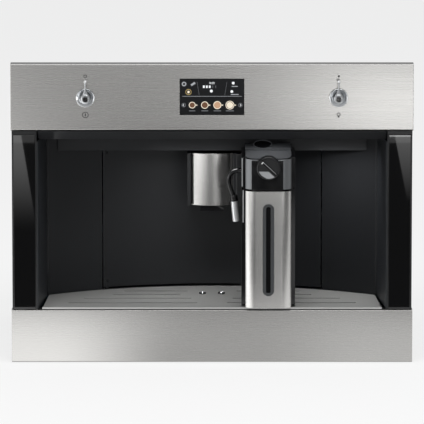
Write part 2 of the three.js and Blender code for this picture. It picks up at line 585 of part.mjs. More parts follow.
// ---------------------------------------------------------------- drawer
function drawer(group) {
  add(group, 'lower_panel', STEEL, foldedPanel(FLOOR_GAP, LOWER_TOP, EDGE));

  const rim = SILL_TOP - SHEET - GAP;
  const floor = PAN_TOP + GAP;
  const front = PANEL_DEPTH + GAP;
  const rear = SILL_REAR - BASIN_WALL;
  const basin = cut(
    solid(box([-BASIN_HALF, BASIN_HALF], [front, rear], [floor, rim])),
    box([BASIN_WALL - BASIN_HALF, BASIN_HALF - BASIN_WALL], [front + BASIN_WALL, rear - BASIN_WALL],
      [floor + BASIN_WALL, rim + 1]),
  );
  add(group, 'drip_basin', BLACK, basin);

  // The bearer under the front lip carries the plate and closes the joint behind the steel panel.
  const underside = PLATE_TOP - PLATE_THICKNESS;
  const frontHalf = wallAt(0) - PLATE_MARGIN;
  const bearer = box([-frontHalf, frontHalf], [SHEET * 2, PANEL_DEPTH], [LOWER_TOP + GAP, underside - GAP]);
  add(group, 'tray_bearer', BLACK, bearer);

  const rearHalf = wallAt(WALL_DEPTH) - SHEET;
  const curve = backCurve(rearHalf - SEAM, SEAM - rearHalf, -PLATE_REAR_GAP, 28);
  const plate = outline([[-frontHalf, GAP * 2], [frontHalf, GAP * 2], ...curve]);
  plate.holes.push(...sides.flatMap(([, sign]) => SLOT_ROWS.map(([depth, from, inset]) => {
    const to = BODY_HALF - inset;
    return slotShape(sign * (from + to) / 2, depth, to - from, SLOT_WIDTH, SLOT_WIDTH / 2);
  })));
  for (const [, sign] of sides) {
    const hole = new THREE.Path();
    hole.absarc(sign * DRAIN_HOLE.x, DRAIN_HOLE.depth, DRAIN_HOLE.radius, 0, 2 * Math.PI);
    plate.holes.push(hole);
  }
  const lip = box([-frontHalf, frontHalf], [GAP * 2, GAP * 2 + SHEET], [underside, PLATE_TOP + PLATE_LIP]);
  add(group, 'cup_plate', STEEL, join(upright(plate, [underside, PLATE_TOP], 5), lip));

  const binHalf = BIN_WIDTH / 2;
  const binFront = rear + GAP;
  const binRear = binFront + BIN_DEPTH;
  const top = PLATE_TOP - PLATE_THICKNESS - 2 * SHEET;
  add(group, 'grounds_bin', BLACK, cut(
    solid(box([-binHalf, binHalf], [binFront, binRear], [floor, top])),
    box([BASIN_WALL - binHalf, binHalf - BASIN_WALL], [binFront + BASIN_WALL, binRear - BASIN_WALL],
      [floor + BASIN_WALL, top + 1]),
  ));
}

// ---------------------------------------------------------------- service door
function serviceDoor(group) {
  const plan = outline([
    ...backCurve(-DOOR_HALF, DOOR_HALF, 0, 24), ...backCurve(DOOR_HALF, -DOOR_HALF, DOOR_THICKNESS, 24),
  ]);
  const bore = PIN_RADIUS + GAP;
  const pins = [[DOOR_BOTTOM - 1, DOOR_BOTTOM + PIN_LENGTH + 1], [DOOR_TOP - PIN_LENGTH - 1, DOOR_TOP + 1]]
    .map(([from, to]) => rod('z', bore, from, to, [HINGE_X, HINGE_Y], 24));
  add(group, 'service_door', GREY, cut(solid(upright(plan, [DOOR_BOTTOM, DOOR_TOP])), ...pins));

  const inner = SPOUT_HALF + 2 * GAP;
  const outer = inner + CHEEK;
  const seat = SPOUT_BACK + GAP;
  const slot = TONGUE_HALF + GAP;
  const cheekFront = SPOUT_FRONT + GAP * 10;
  const rightFront = JUG_FRONT + JUG_DEPTH + 2 * SEAM;
  const block = outline([
    [-outer, cheekFront], [-inner, cheekFront], [-inner, seat], [-slot, seat],
    [-slot, seat + TONGUE_DEPTH + GAP], [slot, seat + TONGUE_DEPTH + GAP], [slot, seat],
    [inner, seat], [inner, cheekFront], [outer, cheekFront], [outer, rightFront], [BLOCK_RIGHT, rightFront],
    ...backCurve(BLOCK_RIGHT, -outer, -GAP, 14),
  ]);
  const step = box(
    [-outer - 1, BLOCK_RIGHT + 1], [cheekFront + BLOCK_TOP_DEPTH, BACK_DEPTH + 1],
    [SPOUT_TOP - BLOCK_STEP, SPOUT_TOP + 1],
  );
  add(group, 'dispensing_block', BLACK, cut(solid(upright(block, [SPOUT_BOTTOM, SPOUT_TOP])), step));

  const port = turned([
    [PORT_RADIUS / 2, -PORT_REACH], [PORT_RADIUS - 1, -PORT_REACH], [PORT_RADIUS, 1 - PORT_REACH],
    [PORT_RADIUS, -GAP], [PORT_RADIUS / 2, -GAP], [PORT_RADIUS / 2, -PORT_REACH],
  ], 24);
  add(group, 'milk_port', CHROME, port).position.set(JUG_X, rightFront, JUG_BASE + PORT_Z);
}

// ---------------------------------------------------------------- coffee spout
function coffeeSpout(group) {
  const centre = SPOUT_FRONT + SPOUT_RADIUS;
  const face = (radius, half, steps) => Array.from({ length: steps + 1 }, (_, i) => {
    const x = -half + (2 * half * i) / steps;
    return [x, centre - Math.sqrt(radius ** 2 - x ** 2)];
  });
  const back = SPOUT_RADIUS - SPOUT_SHEET;
  const cover = outline([...face(SPOUT_RADIUS, SPOUT_HALF, 12), ...face(back, SPOUT_HALF, 12).reverse()]);
  add(group, 'spout_cover', STEEL, upright(cover, [SPOUT_BOTTOM, SPOUT_TOP]));

  const half = SPOUT_HALF - GAP;
  const body = outline([
    ...face(back - GAP, half, 12), [half, SPOUT_BACK], [TONGUE_HALF, SPOUT_BACK],
    [TONGUE_HALF, SPOUT_BACK + TONGUE_DEPTH], [-TONGUE_HALF, SPOUT_BACK + TONGUE_DEPTH],
    [-TONGUE_HALF, SPOUT_BACK], [-half, SPOUT_BACK],
  ]);
  const lipFront = centre - Math.sqrt((back - GAP) ** 2 - LIP_HALF ** 2);
  const lipBottom = SPOUT_BOTTOM - LIP_DROP;
  const lip = box([-LIP_HALF, LIP_HALF], [lipFront, SPOUT_BACK], [lipBottom, SPOUT_BOTTOM + 1]);
  const row = (lipFront + SPOUT_BACK) / 2;
  const outlets = sides.map(([, sign]) =>
    rod('z', OUTLET_RADIUS, lipBottom - 1, SPOUT_BOTTOM, [sign * OUTLET_SPREAD, row], 20));
  const core = join(upright(body, [SPOUT_BOTTOM, SPOUT_TOP - GAP]), lip);
  add(group, 'spout_body', BLACK, cut(core, ...outlets));
}

// ---------------------------------------------------------------- milk jug
/** Plan of the jug: a narrow rounded front and a wide rounded rear. */
function jugPlan(inset, front, rear = JUG_DEPTH) {
  const shape = new THREE.Shape();
  const [f, r] = [SHELL_HALF - inset, JUG_HALF - Math.max(0, inset - SHELL_WALL - GAP)];
  const [cf, cr] = [Math.max(1, SHELL_CORNER - inset), Math.max(1, REAR_CORNER - inset)];
  const shoulder = SHELL_DEPTH + Math.max(0, inset - SHELL_WALL - GAP);
  shape.moveTo(-f + cf, front);
  shape.lineTo(f - cf, front);
  shape.absarc(f - cf, front + cf, cf, -Math.PI / 2, 0);
  shape.lineTo(f, shoulder);
  shape.lineTo(r, shoulder);
  shape.lineTo(r, rear - cr);
  shape.absarc(r - cr, rear - cr, cr, 0, Math.PI / 2);
  shape.lineTo(cr - r, rear);
  shape.absarc(cr - r, rear - cr, cr, Math.PI / 2, Math.PI);
  shape.lineTo(-r, shoulder);
  shape.lineTo(-f, shoulder);
  shape.lineTo(-f, front + cf);
  shape.absarc(cf - f, front + cf, cf, Math.PI, 1.5 * Math.PI);
  return shape;
}

/** Plan of the bent steel front alone. */
function shellPlan() {
  const shape = new THREE.Shape();
  const end = SHELL_DEPTH - GAP;
  const [o, c] = [SHELL_HALF, SHELL_CORNER];
  const [i, k] = [SHELL_HALF - SHELL_WALL, SHELL_CORNER - SHELL_WALL];
  shape.moveTo(-o, end);
  shape.lineTo(-o, c);
  shape.absarc(c - o, c, c, Math.PI, 1.5 * Math.PI);
  shape.lineTo(o - c, 0);
  shape.absarc(o - c, c, c, -Math.PI / 2, 0);
  shape.lineTo(o, end);
  shape.lineTo(i, end);
  shape.lineTo(i, c);
  shape.absarc(o - c, c, k, 0, -Math.PI / 2, true);
  shape.lineTo(c - o, SHELL_WALL);
  shape.absarc(c - o, c, k, 1.5 * Math.PI, Math.PI, true);
  shape.lineTo(-i, end);
  return shape;
}

function milkJug(group) {
  const tall = SHELL_HEIGHT - WINDOW.bottom - WINDOW.top;
  const windowZ = WINDOW.bottom + tall / 2;
  const pane = (slack, y) =>
    alongY(slotShape(0, windowZ, WINDOW.width + slack, tall + slack, WINDOW.width), y, 8);
  add(group, 'jug_shell', STEEL, cut(
    solid(upright(shellPlan(), [0, SHELL_HEIGHT], 6)), pane(2 * GAP, [-1, SHELL_WALL + 1]),
  ));
  const slot = slotShape(0, windowZ, WINDOW.slot, tall - WINDOW.slot, WINDOW.slot / 2);
  const groove = alongY(slot, [-WINDOW.proud - 1, WINDOW.recess - WINDOW.proud], 6);
  add(group, 'jug_window', GREY, cut(solid(pane(0, [-WINDOW.proud, SHELL_WALL])), groove));

  const inset = SHELL_WALL + GAP;
  const hollow = jugPlan(inset + JUG_WALL, inset + JUG_WALL, JUG_DEPTH - JUG_WALL);
  add(group, 'jug_body', BLACK, cut(
    solid(upright(jugPlan(inset, inset), [0, SHELL_HEIGHT], 6)),
    upright(hollow, [JUG_WALL, SHELL_HEIGHT + 1], 4),
  ));

  const headTop = HEAD_BOTTOM + HEAD_HEIGHT;
  const plugInset = inset + JUG_WALL + 2 * GAP;
  const plug = jugPlan(plugInset, plugInset, JUG_DEPTH - JUG_WALL - 2 * GAP);
  const head = join(
    upright(jugPlan(0, 0, JUG_DEPTH - REAR_CORNER / 2), [HEAD_BOTTOM, headTop], 6),
    upright(plug, [HEAD_BOTTOM - PLUG_DEPTH, HEAD_BOTTOM + 1], 4),
  );
  const bores = [
    rod('y', PORT_RADIUS + GAP, JUG_DEPTH + 2 * SEAM - PORT_REACH - 1, JUG_DEPTH + 1, [0, PORT_Z], 24),
    rod('y', SPINDLE_RADIUS + GAP, -1, SPINDLE_LENGTH + 1, [DIAL.x, DIAL_Z], 24),
    rod('x', MILK_TUBE.radius + GAP, -JUG_HALF - 1, MILK_TUBE.stub + GAP - JUG_HALF,
      [MILK_TUBE.y, MILK_Z], 24),
  ];
  add(group, 'jug_head', SILVER, cut(head, ...bores));

  const lidBottom = headTop + GAP;
  const lidRear = JUG_DEPTH - REAR_CORNER;
  const lid = alongX(outline([
    [SHELL_WALL, lidBottom], [lidRear, lidBottom], [lidRear, headTop + LID_REAR - 1],
    [lidRear - 2, headTop + LID_REAR], [SHELL_WALL, headTop + LID_FRONT],
  ]), [-SHELL_HALF, SHELL_HALF]);
  const plan = upright(jugPlan(SHELL_WALL, SHELL_WALL, lidRear), [lidBottom - 1, headTop + 2 * LID_REAR], 6);
  const collar = rod('z', RING.outer, lidBottom, RING_TOP, [RING.x, RING.y], 40);
  const well = rod('z', RING.inner, lidBottom - 1, RING_TOP + 1, [RING.x, RING.y], 40);
  const { y: at, width, depth } = LID_GROOVE;
  const surface = headTop + LID_FRONT + ((LID_REAR - LID_FRONT) * at) / lidRear;
  const trough = box(
    [-JUG_HALF, JUG_HALF], [at - width / 2, at + width / 2], [surface - depth, surface + depth],
  );
  const cover = solid(lid).intersect(solid(plan)).subtract(solid(trough));
  add(group, 'jug_lid', GREY, cut(cover.add(solid(collar)), well));

  const button = new THREE.Group();
  button.position.set(RING.x, RING.y, RING_TOP - 1);
  add(button, 'clean_button', GLOSS_BLACK, turned([
    [0, -BUTTON.height], [BUTTON.radius, -BUTTON.height], [BUTTON.radius, -1], [BUTTON.radius - 1, 0], [0, 0],
  ], 40).rotateX(Math.PI / 2));
  group.add(button, frothDial(), milkSpout());
}

/** Knurled dial with a diagonal grip; its group's origin is on its axis at the head's face. */
function frothDial() {
  const group = new THREE.Group();
  group.position.set(DIAL.x, 0, DIAL_Z);
  const rim = new THREE.Shape();
  for (let i = 0; i < DIAL.ribs * 2; i += 1) {
    const angle = (Math.PI * i) / DIAL.ribs;
    const radius = DIAL.radius - (i % 2 ? DIAL.knurl : 0);
    rim[i ? 'lineTo' : 'moveTo'](radius * Math.cos(angle), radius * Math.sin(angle));
  }
  const rear = -GAP;
  const front = rear - DIAL.thickness;
  const length = DIAL.radius * 0.8;
  const grip = box([-length, length], [front - DIAL.grip, front + 1], [-DIAL.grip, DIAL.grip])
    .rotateY(Math.PI / 4);
  const disc = join(
    alongY(rim, [front + 1.5, rear]),
    rod('y', DIAL.radius - 2, front, rear - 1, [0, 0], 48),
    grip,
    rod('y', SPINDLE_RADIUS, rear - 1, SPINDLE_LENGTH, [0, 0], 24),
  );
  add(group, 'froth_dial', SILVER, disc);
  return group;
}

/** Swivelling milk tube and its outlet; the group's origin is on the swivel at the head's side. */
function milkSpout() {
  const group = new THREE.Group();
  group.position.set(-JUG_HALF, MILK_TUBE.y, MILK_Z);
  const points = [[-MILK_TUBE.stub, 0], [0, 0], ...MILK_ROUTE].map(([x, z]) => new THREE.Vector3(-x, 0, z));
  const route = new THREE.CatmullRomCurve3(points, false, 'centripetal');
  const section = new THREE.Shape();
  section.absarc(0, 0, MILK_TUBE.radius, 0, 2 * Math.PI);
  const tube = new THREE.ExtrudeGeometry(section, { steps: 26, extrudePath: route, curveSegments: 8 });
  const end = points.at(-1);
  const tilt = THREE.MathUtils.degToRad(MILK_NOZZLE.tilt);
  const heading = new THREE.Vector3(Math.sin(tilt), 0, -Math.cos(tilt));
  const turn = new THREE.Quaternion().setFromUnitVectors(new THREE.Vector3(0, -1, 0), heading);
  const along = (geometry, from, length) => geometry.applyQuaternion(turn).translate(
    ...end.clone().addScaledVector(heading, from + length / 2).toArray(),
  );
  const collarLength = MILK_TUBE.collarLength;
  const collar = along(new THREE.CylinderGeometry(MILK_TUBE.collar, MILK_TUBE.collar, collarLength, 24),
    -collarLength / 2, collarLength);
  add(group, 'milk_spout', GLOSS_BLACK, join(tube, collar));

  const { radius, bore, length } = MILK_NOZZLE;
  const pipe = turned([
    [bore, -length / 2], [radius - 0.6, -length / 2], [radius, 0.8 - length / 2], [radius, length / 2],
    [bore, length / 2], [bore, -length / 2],
  ], 28);
  add(group, 'milk_nozzle', CHROME, along(pipe, collarLength / 2 + GAP, length));
  return group;
}

// ---------------------------------------------------------------- inside the casing
function tankPlace() {
  const bottom = PAN_TOP + TANK.plinth + GAP;
  return {
    x: [-INNER_HALF, TANK.width - INNER_HALF],
    y: [TANK_FRONT + TANK.window, TANK_FRONT + TANK.window + TANK.depth],
    bottom,
    top: SHELF_Z - TANK.headroom,
  };
}

function hopperPlace() {
  const [w, d] = [HOPPER.width / 2, HOPPER.depth / 2];
  return {
    x: [HOPPER_X - w, HOPPER_X + w],
    y: [HOPPER_Y - d, HOPPER_Y + d],
    inX: [HOPPER_X - w + HOPPER.wall, HOPPER_X + w - HOPPER.wall],
    inY: [HOPPER_Y - d + HOPPER.wall, HOPPER_Y + d - HOPPER.wall],
  };
}

function waterTank(group) {
  const { x, y, bottom, top } = tankPlace();
  add(group, 'water_tank', CLEAR, cut(
    solid(box([x[0] + GAP, x[1]], y, [bottom, top])),
    box([x[0] + GAP + TANK.wall, x[1] - TANK.wall], [y[0] + TANK.wall, y[1] - TANK.wall],
      [bottom + TANK.wall, top + 1]),
  ));
}

function beanLid(group) {
  const place = hopperPlace();
  const lid = box(
    [place.inX[0] - LID_OVERLAP, place.inX[1] + LID_OVERLAP],
    [place.inY[0] - LID_OVERLAP, place.inY[1] + LID_OVERLAP], [TOP_Z + GAP, TOP_Z + GAP + LID_THICKNESS],
  );
  add(group, 'bean_lid', BLACK, lid);
}

function insides(group) {
  const place = hopperPlace();
  add(group, 'bean_hopper', CLEAR, cut(
    solid(box(place.x, place.y, [HOPPER_BOTTOM, TOP_Z - SHEET - GAP])),
    box(place.inX, place.inY, [HOPPER_BOTTOM + HOPPER.wall, TOP_Z]),
    rod('z', HOPPER.outlet, HOPPER_BOTTOM - 1, HOPPER_BOTTOM + HOPPER.wall + 1, [HOPPER_X, HOPPER_Y], 28),
  ));

  const deck = SHELF_Z + SHEET + GAP;
  const grinderTop = HOPPER_BOTTOM - GAP;
  add(group, 'grinder', BLACK, join(
    rod('z', GRINDER_RADIUS * 0.8, deck, grinderTop, [HOPPER_X, HOPPER_Y], 36),
    rod('z', GRINDER_RADIUS, deck + HOPPER.outlet, deck + 3 * HOPPER.outlet, [HOPPER_X, HOPPER_Y], 36),
  ));

  const front = SILL_REAR + BREW.rear;
  const brewTop = SHELF_Z - GAP;
  add(group, 'brew_unit', BLACK, join(
    box([-BREW.width / 2, BREW.width / 2], [front, front + BREW.depth],
      [BREW.bottom, (BREW.bottom + brewTop) / 2]),
    rod('z', BREW.width / 3, BREW.bottom + SHEET, brewTop, [0, front + BREW.depth / 2], 36),
  ));

  const block = join(
    box([THERMO.x - THERMO.width / 2, THERMO.x + THERMO.width / 2], [front, front + THERMO.depth],
      [deck, deck + THERMO.height]),
    ...sides.map(([, sign]) => rod(
      'z', THERMO.pipe, deck + THERMO.height - SHEET, deck + THERMO.height + 4 * THERMO.pipe,
      [THERMO.x + (sign * THERMO.width) / 4, front + THERMO.depth / 2], 20,
    )),
  );
  add(group, 'thermoblock', CAST, block);

  const lift = deck + PUMP.radius;
  add(group, 'pump', ZINC, join(
    rod('y', PUMP.radius, front, front + PUMP.length, [PUMP.x, lift], 32),
    box([PUMP.x - PUMP.radius, PUMP.x + PUMP.radius], [front + PUMP.length / 4, front + PUMP.length / 2],
      [deck, lift]),
  ));

  const face = INNER_HALF - BOARD.inset;
  const [y0, z0] = [front, BOARD.bottom];
  const tall = SHELF_Z - BOARD.bottom - BOARD.headroom;
  const corners = [0.1, 0.9].flatMap((u) => [0.1, 0.9].map((v) => [y0 + u * BOARD.depth, z0 + v * tall]));
  add(group, 'power_board', BOARD_GREEN, join(
    box([face, face + BOARD.thickness], [y0, y0 + BOARD.depth], [z0, z0 + tall]),
    ...corners.map((corner) => rod('x', BOARD.post, face + 1, INNER_HALF, corner, 12)),
    box([face - BOARD.inset, face + 1], [y0 + BOARD.depth / 4, y0 + BOARD.depth / 2],
      [z0 + tall / 3, z0 + tall / 2]),
  ));

  const wallY = BODY_DEPTH + GAP;
  const [w, h] = [INLET.body / 2, INLET.tall / 2];
  const shell = join(
    box([-INLET.width / 2, INLET.width / 2], [wallY, wallY + INLET.flange],
      [-INLET.height / 2, INLET.height / 2]),
    box([-w, w], [wallY - INLET.depth, wallY + 1], [-h, h]),
  );
  const floor = wallY - INLET.depth;
  const mouth = wallY + INLET.flange + 1;
  const recess = box([SHEET - w, w - SHEET], [floor + SHEET, mouth], [SHEET - h, h - SHEET]);
  const blades = [-1, 0, 1].map((i) => box(
    [i * (w / 2) - BLADE.half, i * (w / 2) + BLADE.half], [floor + SHEET / 2, wallY - SHEET],
    [i ? -BLADE.long : 0, i ? 0 : BLADE.long],
  ));
  const inlet = blades.reduce((left, blade) => left.add(solid(blade)), cut(shell, recess));
  add(group, 'mains_inlet', BLACK, inlet).position.set(INLET_X, 0, INLET.z);
}

// ---------------------------------------------------------------- assembly
const machine = new THREE.Group();
machine.position.y = (FRONT_REACH - REAR_MOST) / 2;   // origin at the bottom centre
const cabinetRails = new THREE.Group();
const middleRails = new THREE.Group();
const body = new THREE.Group();
machine.add(cabinetRails, middleRails, body);

runners(cabinetRails, middleRails, body);
casing(body);
controlFront(body);
columns(body);
niche(body);
insides(body);

for (const [side, sign] of sides) {
  const handle = lever(side);
  handle.position.set(sign * LEVER_X, LEVER_PIVOT, LEVER_Z);
  body.add(handle);
}

const tray = new THREE.Group();
const door = new THREE.Group();
const spout = new THREE.Group();
const jug = new THREE.Group();
const loose = new THREE.Group();
body.add(tray, door, loose);
door.add(spout, jug);
drawer(tray);
serviceDoor(door);
coffeeSpout(spout);
jug.position.set(JUG_X, JUG_FRONT, JUG_BASE);
milkJug(jug);
waterTank(loose);
beanLid(loose);

export default machine;
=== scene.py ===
"""Built-in coffee machine: the finished look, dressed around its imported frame.

Every size is in metres unless its name ends in _mm. X runs to the right, Y to the back and Z up.
"""

from __future__ import annotations

import json
import logging
import math
from contextlib import contextmanager
from dataclasses import dataclass, field
from enum import Enum
from typing import Iterator, Mapping, NamedTuple, Sequence

import bmesh
import bpy
from mathutils import Vector
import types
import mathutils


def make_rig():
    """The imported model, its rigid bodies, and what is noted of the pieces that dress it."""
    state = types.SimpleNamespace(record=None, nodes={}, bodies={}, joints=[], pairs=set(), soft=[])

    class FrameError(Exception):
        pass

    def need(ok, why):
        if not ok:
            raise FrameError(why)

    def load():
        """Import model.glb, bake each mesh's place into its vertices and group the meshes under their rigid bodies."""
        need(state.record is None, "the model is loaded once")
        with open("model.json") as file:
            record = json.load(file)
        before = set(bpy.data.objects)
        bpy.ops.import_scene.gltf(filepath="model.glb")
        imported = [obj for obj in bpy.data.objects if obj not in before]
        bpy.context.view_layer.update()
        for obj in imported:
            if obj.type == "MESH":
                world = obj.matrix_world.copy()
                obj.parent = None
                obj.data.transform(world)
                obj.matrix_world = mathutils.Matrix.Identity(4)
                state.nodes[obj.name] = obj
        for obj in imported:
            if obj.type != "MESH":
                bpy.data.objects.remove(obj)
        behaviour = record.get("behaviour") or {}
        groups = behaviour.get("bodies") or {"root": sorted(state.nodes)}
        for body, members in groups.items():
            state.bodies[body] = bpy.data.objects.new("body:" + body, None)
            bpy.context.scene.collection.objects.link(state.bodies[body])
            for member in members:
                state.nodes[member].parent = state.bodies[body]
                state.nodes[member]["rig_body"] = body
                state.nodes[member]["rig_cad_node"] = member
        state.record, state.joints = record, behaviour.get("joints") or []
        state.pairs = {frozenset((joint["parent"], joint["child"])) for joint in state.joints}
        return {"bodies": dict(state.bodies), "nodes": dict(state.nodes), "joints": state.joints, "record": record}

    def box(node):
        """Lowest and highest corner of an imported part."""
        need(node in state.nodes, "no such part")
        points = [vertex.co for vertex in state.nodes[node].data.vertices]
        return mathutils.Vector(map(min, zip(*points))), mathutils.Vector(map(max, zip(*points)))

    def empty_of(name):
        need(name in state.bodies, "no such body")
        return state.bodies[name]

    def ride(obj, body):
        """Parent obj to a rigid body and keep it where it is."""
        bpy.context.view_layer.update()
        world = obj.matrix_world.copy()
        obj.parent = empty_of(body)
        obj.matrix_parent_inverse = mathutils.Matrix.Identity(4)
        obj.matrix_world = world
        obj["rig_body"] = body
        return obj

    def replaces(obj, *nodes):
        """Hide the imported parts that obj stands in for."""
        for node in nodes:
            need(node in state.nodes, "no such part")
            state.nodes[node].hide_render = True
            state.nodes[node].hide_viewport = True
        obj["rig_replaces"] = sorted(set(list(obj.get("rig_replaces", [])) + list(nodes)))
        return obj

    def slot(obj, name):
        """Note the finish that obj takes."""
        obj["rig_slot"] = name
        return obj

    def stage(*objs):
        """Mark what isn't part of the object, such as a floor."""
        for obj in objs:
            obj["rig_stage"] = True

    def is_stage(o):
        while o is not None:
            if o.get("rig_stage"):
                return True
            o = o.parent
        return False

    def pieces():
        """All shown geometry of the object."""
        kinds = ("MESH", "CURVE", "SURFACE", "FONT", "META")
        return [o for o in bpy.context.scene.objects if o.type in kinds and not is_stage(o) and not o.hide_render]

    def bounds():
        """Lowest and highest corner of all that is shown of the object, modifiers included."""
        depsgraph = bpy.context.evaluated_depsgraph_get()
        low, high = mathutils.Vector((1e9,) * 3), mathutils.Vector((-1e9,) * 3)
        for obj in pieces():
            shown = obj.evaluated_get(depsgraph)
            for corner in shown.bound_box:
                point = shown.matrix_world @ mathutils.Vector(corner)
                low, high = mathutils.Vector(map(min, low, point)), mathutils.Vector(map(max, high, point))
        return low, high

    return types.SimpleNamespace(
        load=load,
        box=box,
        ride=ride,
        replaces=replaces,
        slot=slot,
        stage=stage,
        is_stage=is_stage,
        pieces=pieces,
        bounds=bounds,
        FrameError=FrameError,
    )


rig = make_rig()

LOG = logging.getLogger("coffee_machine")
MM = 0.001
SIZE_FILE = "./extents.json"
SIDES = (("left", -1), ("right", 1))
ORIGIN = Vector((0, 0, 0))
WHITE = "#FFFFFF"
# Points closer than this are one, in new pieces and in the frame's, and faces that meet at less
# than this angle are one.
WELD = 1e-6
FRAME_WELD = 2e-6
FLAT_DEG = 0.4

Piece = bpy.types.Object
Tree = bpy.types.NodeTree
Socket = bpy.types.NodeSocket
Profile = Sequence[tuple[float, float]]


# ---------------- colour and nodes
def linear(code: str) -> tuple[float, float, float, float]:
    """Turn an sRGB hex value into the linear colour that a shader reads.

    Args:
        code: A hash and six hex digits.

    Returns:
        Red, green, blue and an alpha of one.
    """
    parts = [int(code[i : i + 2], 16) / 255 for i in (1, 3, 5)]
    red, green, blue = (p / 12.92 if p <= 0.04045 else ((p + 0.055) / 1.055) ** 2.4 for p in parts)
    return red, green, blue, 1.0


def add_node(
    tree: Tree,
    kind: str,
    settings: Mapping[str | int, object] | None = None,
    links: Mapping[str | int, Socket] | None = None,
) -> bpy.types.Node:
    """Add a node with its settings and links.

    Args:
        tree: The material's or world's node tree.
        kind: The node's type name.
        settings: Values by input name, input number or node attribute.
        links: Output sockets by the input name or number that they feed.

    Returns:
        The new node.
    """
    made = tree.nodes.new(kind)
    for key, value in (settings or {}).items():
        if isinstance(key, int) or key in made.inputs:
            made.inputs[key].default_value = value
        else:
            setattr(made, key, value)
    for key, socket in (links or {}).items():
        tree.links.new(socket, made.inputs[key])
    return made


def multiply(tree: Tree, first: Socket, second: Socket | float) -> Socket:
    """Multiply a value by another value or by a number.

    Args:
        tree: The node tree.
        first: The value.
        second: What it is multiplied by.

    Returns:
        The product.
    """
    settings, links = {"operation": "MULTIPLY"}, {0: first}
    (settings if isinstance(second, float) else links)[1] = second
    return add_node(tree, "ShaderNodeMath", settings, links).outputs[0]


def blank_tree(owner: bpy.types.Material | bpy.types.World) -> Tree:
    """Give a material or world an empty node tree.

    Args:
        owner: The material or world.

    Returns:
        Its node tree.
    """
    owner.use_nodes = True
    owner.node_tree.nodes.clear()
    return owner.node_tree


@dataclass(frozen=True)
class Finish:
    """A surface as a maker would name it, with one pattern for colour, gloss and relief.

    The pattern is noise on Object coordinates. pitch_mm gives its size along X, Y and Z.
    """

    name: str
    colour: str
    metallic: float = 0.0
    roughness: float = 0.4
    ior: float = 1.5
    specular: float = 0.5
    anisotropic: float = 0.0
    transmission: float = 0.0
    glow: float = 0.0
    pitch_mm: tuple[float, float, float] = (1.2, 1.2, 1.2)
    detail: float = 2.0
    tint: float = 0.03
    gloss_change: float = 0.05
    relief_mm: float = 0.0
    cells: bool = False

    def make(self) -> bpy.types.Material:
        """Build the material once and hand it out again after that.

        Returns:
            The node material of this finish.
        """
        known = bpy.data.materials.get(self.name)
        if known:
            return known
        material = bpy.data.materials.new(self.name)
        tree = blank_tree(material)
        value = self.pattern(tree)

        def spread(middle: float, change: float) -> Socket:
            """Map the pattern's middle half to the values around one.

            Args:
                middle: That one value.
                change: How far the ends are from it.

            Returns:
                The mapped value.
            """
            ends = {"To Min": max(0.0, middle - change), "To Max": middle + change}
            ends |= {"From Min": 0.25, "From Max": 0.75}
            return add_node(tree, "ShaderNodeMapRange", ends, {"Value": value}).outputs["Result"]

        base = {"operation": "SCALE", 0: linear(self.colour)[:3]}
        colour = add_node(tree, "ShaderNodeVectorMath", base, {"Scale": spread(1.0, self.tint)})
        settings: dict[str | int, object] = {
            "Metallic": self.metallic,
            "IOR": self.ior,
            "Specular IOR Level": self.specular,
            "Anisotropic": self.anisotropic,
            "Transmission Weight": self.transmission,
        }
        if self.glow:
            settings["Emission Color"] = linear(self.colour)
            settings["Emission Strength"] = self.glow
        gloss = spread(self.roughness, self.gloss_change)
        links = {"Base Color": colour.outputs[0], "Roughness": gloss}
        if self.relief_mm:
            depth = {"Strength": 1.0, "Distance": self.relief_mm * MM}
            relief = add_node(tree, "ShaderNodeBump", depth, {"Height": value})
            links["Normal"] = relief.outputs["Normal"]
        shader = add_node(tree, "ShaderNodeBsdfPrincipled", settings, links)
        add_node(tree, "ShaderNodeOutputMaterial", links={"Surface": shader.outputs[0]})
        return material

    def pattern(self, tree: Tree) -> Socket:
        """Add the noise or the cells to a tree.

        Args:
            tree: The material's node tree.

        Returns:
            The pattern's value.
        """
        place = add_node(tree, "ShaderNodeTexCoord").outputs["Object"]
        scale = tuple(1 / (size * MM) for size in self.pitch_mm)
        spot = add_node(tree, "ShaderNodeMapping", {"Scale": scale}, {"Vector": place})
        at = {"Vector": spot.outputs[0]}
        if self.cells:
            cells = add_node(tree, "ShaderNodeTexVoronoi", {"Scale": 1.0}, at)
            parts = {"Color": cells.outputs["Color"]}
            return add_node(tree, "ShaderNodeSeparateColor", links=parts).outputs[0]
        settings = {"Scale": 1.0, "Detail": self.detail, "Roughness": 0.55}
        return add_node(tree, "ShaderNodeTexNoise", settings, at).outputs["Fac"]


